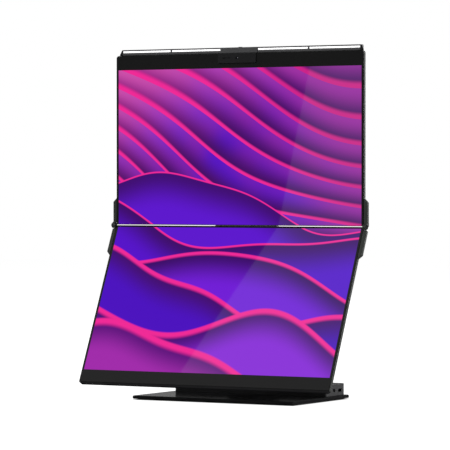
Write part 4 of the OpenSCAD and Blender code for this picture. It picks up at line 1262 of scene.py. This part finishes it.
class MONITOR_OT_fold_hinges(bpy.types.Operator):
    """Fold hinges: four chamfered arms with round knuckles, and the pins through them"""

    bl_idname = "monitor.fold_hinges"
    bl_label = "Fold Hinges"

    def execute(self, context):
        edge = sizes_mm()["arm_edge"]
        knuckle = -span("upper_arm_left", in_upper)[0][1]
        front = span("upper_glass", in_upper)[0][1]
        for screen, place in (("upper", in_upper), ("lower", in_lower)):
            for hand, way in (("left", -1), ("right", 1)):
                hinge_arm(screen, place, hand, way, front, knuckle, edge)
        a, b = solids("fold_pins", in_upper)[0]
        under = max(abs(a[0]), abs(b[0])) - 1.1
        # radius, and height from under the head
        rows = [(0, -7), (2, -7), (2, 0), (4.3, 0), (4.3, 0.6), (3.9, 0.95), (2.1, 1.1),
                (1.9, 0.5), (0, 0.5)]
        heads = Skin()
        for side in (-1, 1):
            heads.lathe([(q, side * (under + d)) for q, d in rows], (0, 0), "yz", 48)
        piece("fold_pin_heads", heads, in_upper, "matt_moulding", ["fold_pins"],
              body="lower_screen")
        paint("black_steel", "fold_washers")
        return {"FINISHED"}


def bar_section(front, foot, top, rear, back, end):
    """The bar's outline in Y and Z: it stands on the screen's edge at foot, and hooks down behind
    the screen, between back and rear."""
    lip = back + 2
    return Outline(
        [[front, foot], [front + 1.1, top], [rear - 1.5, top], [rear, top - 1.5], [rear, foot],
         [lip, foot - 4], [lip, end - 16], [back, end - 16], [back, end + 0.1],
         [front + 1.5, end + 0.1], [front + 1.5, foot]],
        [0.35, 0.7, 0.9, 0.9, 0.8, 1.2, 0.5, 0.3, 0.1, 0.1, 0.1], 4)


class MONITOR_OT_light_bar(bpy.types.Operator):
    """Light bar: two channels with lit strips, sloping end caps and a centre housing"""

    bl_idname = "monitor.light_bar"
    bl_label = "Light Bar"

    def execute(self, context):
        low, high = span("light_bar_channels", in_upper)
        (_, front, _), (_, rear, top) = low, high
        back = span("upper_panel_plate", in_upper)[1][1] + 1.3 + 0.1
        end = span("upper_shell", in_upper)[1][2]
        foot = end + 1.1
        section = bar_section(front, foot, top, rear, back, end)
        slots, covers, channels, caps = Skin(), Skin(), Skin(), Skin()
        for a, b in solids("light_bar_diffusers", in_upper):
            slots.block((a[0] - 0.2, front - PAST, a[2] - 0.1), (b[0] + 0.2, front + 7, b[2] + 0.1))
            covers.slab(rectangle(a[0], a[2], b[0], b[2], 0.5, 4), a[1], b[1], 0.45, 0, "xz", 4)
        right = max(solids("light_bar_channels", in_upper), key=lambda box: box[0][0])
        x0, x1 = right[1][0] + 0.1, span("light_bar_end_caps", in_upper)[1][0] + 0.8
        for way in (-1, 1):
            channels.slab(section, way * right[0][0], way * right[1][0], 0.12, 0.12, "yz", 2)
            caps.slab(section, way * x0, way * x1, 0.1, 0.7, "yz", 4)
        lean_up, lean_back, drop, start = 5.3, 6.9, 6.3, front + 1

        def lean(p):
            """Drawn in towards the middle with the height above the foot or the way back, whichever
            draws more, and lowered with the product of the two, all in step with the way out."""
            out = p.copy()
            up = np.clip((p[:, 2] - foot) / (top - foot), 0, 1)
            deep = np.clip((p[:, 1] - start) / (rear - start), 0, 1)
            far = np.clip((np.abs(p[:, 0]) - x0) / (x1 - x0), 0, 1)
            out[:, 0] -= np.sign(p[:, 0]) * np.maximum(lean_up * up, lean_back * deep) * far
            out[:, 2] -= drop * up * deep * far
            return out

        piece("bar_channels", channels, in_upper, "bar_anodised", ["light_bar_channels"], [slots])
        piece("bar_diffusers", covers, in_upper, "opal_diffuser", ["light_bar_diffusers"])
        piece("bar_end_caps", caps.turned(lean), in_upper, "black_moulding",
              ["light_bar_end_caps"])
        a, b = span("light_bar_centre", in_upper)
        section = bar_section(a[1], foot, b[2], b[1], back, end)
        housing = Skin().slab(section, a[0], b[0], 0.25, 0.25, "yz", 3)
        hole = Skin().rod(middle(*span("lamp_button", in_upper)), BUTTON_HOLE, b[2] - 4,
                          b[2] + PAST, "xy")
        hollow = Skin().block((a[0] + 2, a[1] + 1.6, foot + 1), (b[0] - 2, b[1] - 1.6, b[2] - 2))
        piece("bar_centre", housing, in_upper, "bar_anodised", ["light_bar_centre"],
              [hollow, hole])
        return {"FINISHED"}


class MONITOR_OT_camera_pod(bpy.types.Operator):
    """Camera pod: a proud block with a window, a shutter slot and two microphone holes"""

    bl_idname = "monitor.camera_pod"
    bl_label = "Camera Pod"

    def execute(self, context):
        (left, proud, foot), (right, back, head) = span("camera_pod", in_upper)
        glass = span("upper_glass", in_upper)[0][1]
        low, high = span("camera_lens", in_upper)
        centre, mouth, rear = middle(low, high, "xz"), low[1], high[1]
        x, z = centre
        face = Skin().slab(rectangle(left, foot, right, head, 0.8, 4), proud, glass - 0.1, 0.7, 0,
                           "xz", 4)
        body = Skin().slab(rectangle(left, foot, right, head - 0.8, 0.4, 3), glass - 0.6, back)
        room = rectangle(left + 1.6, foot + 1.6, right - 1.6, head - 2.4, 0.6)
        wall = Skin().slab(room, proud + 1.2, glass + 8)
        holes = Skin().rod(centre, 2.4, proud - PAST, glass, "xz")
        # the shutter's slot, as long as its travel and its thumb piece
        start, half = span("camera_shutter", in_upper)[0][0] + 1.7, 1.3
        slot = rectangle(start, z - half, start + 18.6, z + half, 1.2, 5)
        holes.slab(slot, proud - PAST, glass)
        for side in (-12, 12):
            holes.rod((side, foot + 3.4), 0.5, proud - PAST, glass, "xz", 20)
        rails = Skin()
        for rail in (z - 7.2, z + 5.8):
            rails.block((-36, proud + 1, rail), (36, glass + 2.4, rail + 1.4))
        piece("pod_housing", face, in_upper, "black_moulding", ["camera_pod"], [wall, holes],
              [body], [rails])
        rows = [(0, rear), (3.4, rear), (3.4, mouth + 0.3), (3.1, mouth), (2.1, mouth + 0.15),
                (1.9, mouth + 0.5), (0, mouth + 0.5)]
        barrel = Skin().lathe(rows, centre, "xz", 48)
        mount = Skin().slab(rectangle(x - 4.5, z - 4.5, x + 4.5, z + 4.5, 0.5), rear - 1.6,
                            rear - 0.02)
        piece("lens_barrel", barrel, in_upper, "black_steel", ["camera_lens"], (), [mount])
        # a bulging front: radius r (1 - t), height h (1 - (1 - t)^2)
        t, r, rise = np.linspace(0, 1, 7), 1.85, 0.35
        bulge = np.stack([r * (1 - t), mouth + 0.5 - rise * (1 - (1 - t) ** 2)], -1)
        eye = Skin().lathe([(0, mouth + 0.7), (r, mouth + 0.7)] + bulge.tolist(), centre, "xz", 40)
        piece("lens_eye", eye, in_upper, "lens_coating")
        return {"FINISHED"}


class MONITOR_OT_shutter(bpy.types.Operator):
    """Privacy shutter: a thin blade with a ribbed thumb piece"""

    bl_idname = "monitor.shutter"
    bl_label = "Privacy Shutter"

    def execute(self, context):
        (left, front, foot), (right, back, head) = span("camera_shutter", in_upper)
        x, mid = left + 4, (foot + head) / 2
        blade = Skin().slab(rectangle(left, foot, right, head, 1.5), back - 0.7, back, 0.1, 0.1,
                            "xz", 2)
        thumb = Skin().slab(rectangle(x - 2, mid - 1, x + 2, mid + 1, 0.8), front, back - 0.4,
                            0.3, 0, "xz", 3)
        grooves, half = Skin(), 0.15
        for rib in (x - 1, x, x + 1):
            grooves.block((rib - half, front - PAST, mid - 2), (rib + half, front + 0.25, mid + 2))
        piece("shutter_blade", blade, in_upper, "chin_moulding", ["camera_shutter"], [grooves],
              [thumb], body="camera_shutter")
        return {"FINISHED"}


class MONITOR_OT_buttons(bpy.types.Operator):
    """Round buttons with dished tops and small flanges"""

    bl_idname = "monitor.buttons"
    bl_label = "Buttons"

    def execute(self, context):
        for node, place, plane in (
            ("power_button", in_base, "xz"),
            ("upper_menu_button", in_upper, "xz"),
            ("lower_menu_button", in_lower, "xz"),
            ("lamp_button", in_upper, "xy"),
        ):
            low, high = span(node, place)
            i, _, k = AXES[plane]
            flange, top, under = (high[i] - low[i]) / 2, high[k], low[k]
            r = flange - 1
            rows = [(0, under), (flange, under), (flange, under + 0.8), (r, under + 0.8),
                    (r, top - 0.4), (r - 0.12, top - 0.12), (r - 0.4, top), (r - 0.8, top - 0.05),
                    (r * 0.5, top - 0.22), (0, top - 0.28)]
            skin = Skin().lathe(rows, middle(low, high, plane), plane, 48)
            piece(node + "_cap", skin, place, "black_moulding", [node], body=node)
        return {"FINISHED"}


class MONITOR_OT_inner_parts(bpy.types.Operator):
    """Finishes on the boards, light guides, plates and speakers inside"""

    bl_idname = "monitor.inner_parts"
    bl_label = "Inner Parts"

    def execute(self, context):
        paint("circuit_board", "hub_board", "lower_main_board", "upper_driver_board",
              "camera_board", "lower_led_strip", "upper_led_strip", "light_bar_led_boards")
        paint("guide_acrylic", "lower_light_guide", "upper_light_guide")
        paint("panel_steel", "lower_panel_plate", "upper_panel_plate")
        paint("black_moulding", "lower_speakers")
        return {"FINISHED"}


# The camera's place in metres, its focal length in pixels, the frame's width in pixels, and its
# turn in degrees: round to the right, and down
EYE, FOCAL, FRAME = Vector((2.88446, -5.09357, 0.40753)), 3097.1, 450
VIEW_SIDE, VIEW_DOWN = 29.729, 0.753
FLOOR_REACH = 9


class MONITOR_OT_stage(bpy.types.Operator):
    """Pale floor, white surroundings, soft lamps, reflection cards and the camera"""

    bl_idname = "monitor.stage"
    bl_label = "Stage"

    def execute(self, context):
        scene = bpy.context.scene
        scene.view_settings.view_transform = "Standard"
        d = FLOOR_REACH
        floor = stage_sheet("floor", [(-d, -d, 0), (d, -d, 0), (d, d, 0), (-d, d, 0)],
                            floor_finish(*span("base_plate")))
        surroundings(scene)
        # place and aim in metres, width, height, and power in watts
        for name, place, aim, wide, tall, power in (
            ("side", (5.0, 0.1, 0.35), (0, 0, 0.35), 2.0, 0.9, 195),
            ("front", (-1.4, -4.4, 2.4), (0, 0, 0.3), 2.4, 2.4, 130),
            ("left", (-4.2, -0.7, 3.2), (0, 0, 0.1), 1.6, 1.6, 90),
            ("back", (0.6, 5.0, 1.0), (0, 0, 0.35), 3.0, 1.8, 170),
        ):
            lamp = bpy.data.lights.new(name, "AREA")
            lamp.shape, lamp.size, lamp.size_y, lamp.energy = "RECTANGLE", wide, tall, power
            obj = bpy.data.objects.new(name, lamp)
            scene.collection.objects.link(obj)
            turn = (Vector(aim) - Vector(place)).to_track_quat("-Z", "Y").to_matrix().to_4x4()
            obj.matrix_world = Matrix.Translation(place) @ turn
        reflection_card("upper_card", in_upper, ((311, 60), (277, 234), (372, 234), (372, 40)))
        reflection_card("lower_card", in_lower, ((281, 222), (178, 376), (345, 392), (378, 222)))
        camera(scene)
        return {"FINISHED"}


def stage_sheet(name, corners, material):
    """A flat sheet of the stage."""
    mesh = bpy.data.meshes.new(name)
    mesh.from_pydata(corners, [], [tuple(range(len(corners)))])
    mesh.materials.append(material)
    sheet = bpy.data.objects.new(name, mesh)
    bpy.context.scene.collection.objects.link(sheet)
    return sheet


def light_path_mask(f):
    """1 for rays from the camera, off glossy surfaces and through clear ones."""
    seen = [f.node("ShaderNodeLightPath", output=i) for i in (0, 3, 6)]
    return seen[0].math("MAXIMUM", seen[1]).math("MAXIMUM", seen[2])


def floor_finish(low, high):
    """Pale paper, lifted to white for the view but for a painted shadow under the base plate: there
    the distance to the plate's edge, min(half - |x - middle|) over both axes, is over 0."""
    f = Finish("floor_white", Roughness=0.8, Specular_IOR_Level=0.0, Emission_Strength=0.95)
    paper = f.noise(40, 3)
    f.feed(Base_Color=f.mix(paper, (0.38, 0.38, 0.38), (0.42, 0.42, 0.42)))
    where, inside = f.coords(), []
    for i in (0, 1):
        part = f.node("ShaderNodeSeparateXYZ", {}, (where,), i)
        off = (part - (low[i] + high[i]) / 2000).math("ABSOLUTE")
        inside.append((high[i] - low[i]) / 2000 - off)
    # painted shadow: the lift to white fades out across the base plate's edge, 2 mm either side
    under = inside[0].math("MINIMUM", inside[1]).smooth(-0.002, 0.002)
    lit = light_path_mask(f) * (1 - under)
    f.feed(Emission_Color=f.mix(lit, (0, 0, 0), (1, 1, 1)))
    return f.material


def surroundings(scene):
    """A white world for the view and for reflections, which lights the object only faintly."""
    world = bpy.data.worlds.new("studio")
    scene.world = world
    world.use_nodes = True
    f = Finish.__new__(Finish)
    f.tree = world.node_tree
    back = f.tree.nodes["Background"]
    f.put(back.inputs["Color"], (1, 1, 1))
    f.put(back.inputs["Strength"], light_path_mask(f) * 0.9 + 0.1)


def view_axes():
    """Right, up and forward of the view."""
    side, down = math.radians(VIEW_SIDE), math.radians(VIEW_DOWN)
    flat = math.cos(down)
    forward = Vector((-math.sin(side) * flat, math.cos(side) * flat, -math.sin(down)))
    right = Vector((math.cos(side), math.sin(side), 0))
    return right, right.cross(forward), forward


def camera(scene):
    """A long lens from the right, at the height of the screens."""
    right, up, forward = view_axes()
    lens = bpy.data.cameras.new("camera")
    lens.sensor_width, lens.lens = 36, 36 * FOCAL / FRAME
    lens.clip_end = 60
    obj = bpy.data.objects.new("camera", lens)
    scene.collection.objects.link(obj)
    turn = Matrix((right, up, -forward)).transposed().to_4x4()
    obj.matrix_world = Matrix.Translation(EYE) @ turn
    scene.camera = obj


def reflection_card(name, place, corners):
    """A glowing card that only glossy rays see. Its reflection in the glass of a screen fills the
    given corners of the view, in pixels: each lies on the line from the mirrored eye,
    e' = e - 2 ((e - p) . n) n, through the glass at that corner, half as far again behind it."""
    right, up, forward = view_axes()
    front = span("upper_glass", in_upper)[0][1]
    glass = place(np.array([[0, front, 0], [0, front - 1, 0]]))
    point, normal = Vector(glass[0]), Vector(glass[1] - glass[0]).normalized()
    mirrored = EYE - 2 * (EYE - point).dot(normal) * normal
    ends = []
    for px, py in corners:
        ray = forward + right * ((px - FRAME / 2) / FOCAL) + up * ((FRAME / 2 - py) / FOCAL)
        hit = EYE + ray * ((point - EYE).dot(normal) / ray.dot(normal))
        ends.append(mirrored + (hit - mirrored) * 1.5)
    f = Finish(name, Base_Color=(0, 0, 0, 1), Specular_IOR_Level=0.0, Emission_Strength=5.4)
    f.feed(Emission_Color=f.mix(f.noise(2, 1), (0.97, 0.97, 0.97), (1, 1, 1)))
    card = stage_sheet(name, ends, f.material)
    card.visible_camera = card.visible_diffuse = card.visible_shadow = False
    card.visible_transmission = False


OPERATORS = (
    MONITOR_OT_base_plate,
    MONITOR_OT_feet,
    MONITOR_OT_hub,
    MONITOR_OT_sockets,
    MONITOR_OT_neck,
    MONITOR_OT_tilt_hinge,
    MONITOR_OT_shells,
    MONITOR_OT_fronts,
    MONITOR_OT_chin,
    MONITOR_OT_covers,
    MONITOR_OT_screws,
    MONITOR_OT_fold_hinges,
    MONITOR_OT_light_bar,
    MONITOR_OT_camera_pod,
    MONITOR_OT_shutter,
    MONITOR_OT_buttons,
    MONITOR_OT_inner_parts,
    MONITOR_OT_stage,
)


class MONITOR_PT_pieces(bpy.types.Panel):
    """Lists the operators with the settings they read"""

    bl_idname = "MONITOR_PT_pieces"
    bl_label = "Stacked Monitor"
    bl_space_type = "VIEW_3D"
    bl_region_type = "UI"
    bl_category = "Monitor"

    def draw(self, context):
        column = self.layout.column(align=True)
        for operator in OPERATORS:
            column.operator(operator.bl_idname)
        scene = context.scene
        for group, title in ((scene.monitor_sizes, "Sizes"), (scene.monitor_colours, "Colours")):
            box = self.layout.box()
            box.label(text=title)
            for key in type(group).__annotations__:
                box.prop(group, key)


CLASSES = (MonitorSizes, MonitorColours) + OPERATORS + (MONITOR_PT_pieces,)


def register():
    for cls in CLASSES:
        bpy.utils.register_class(cls)
    bpy.types.Scene.monitor_sizes = bpy.props.PointerProperty(type=MonitorSizes)
    bpy.types.Scene.monitor_colours = bpy.props.PointerProperty(type=MonitorColours)


def unregister():
    del bpy.types.Scene.monitor_colours
    del bpy.types.Scene.monitor_sizes
    for cls in reversed(CLASSES):
        bpy.utils.unregister_class(cls)


def main():
    register()
    for operator in OPERATORS:
        group, name = operator.bl_idname.split(".")
        if getattr(getattr(bpy.ops, group), name)() != {"FINISHED"}:
            raise RuntimeError(operator.bl_idname + " did not finish")


if __name__ == "__main__":
    main()
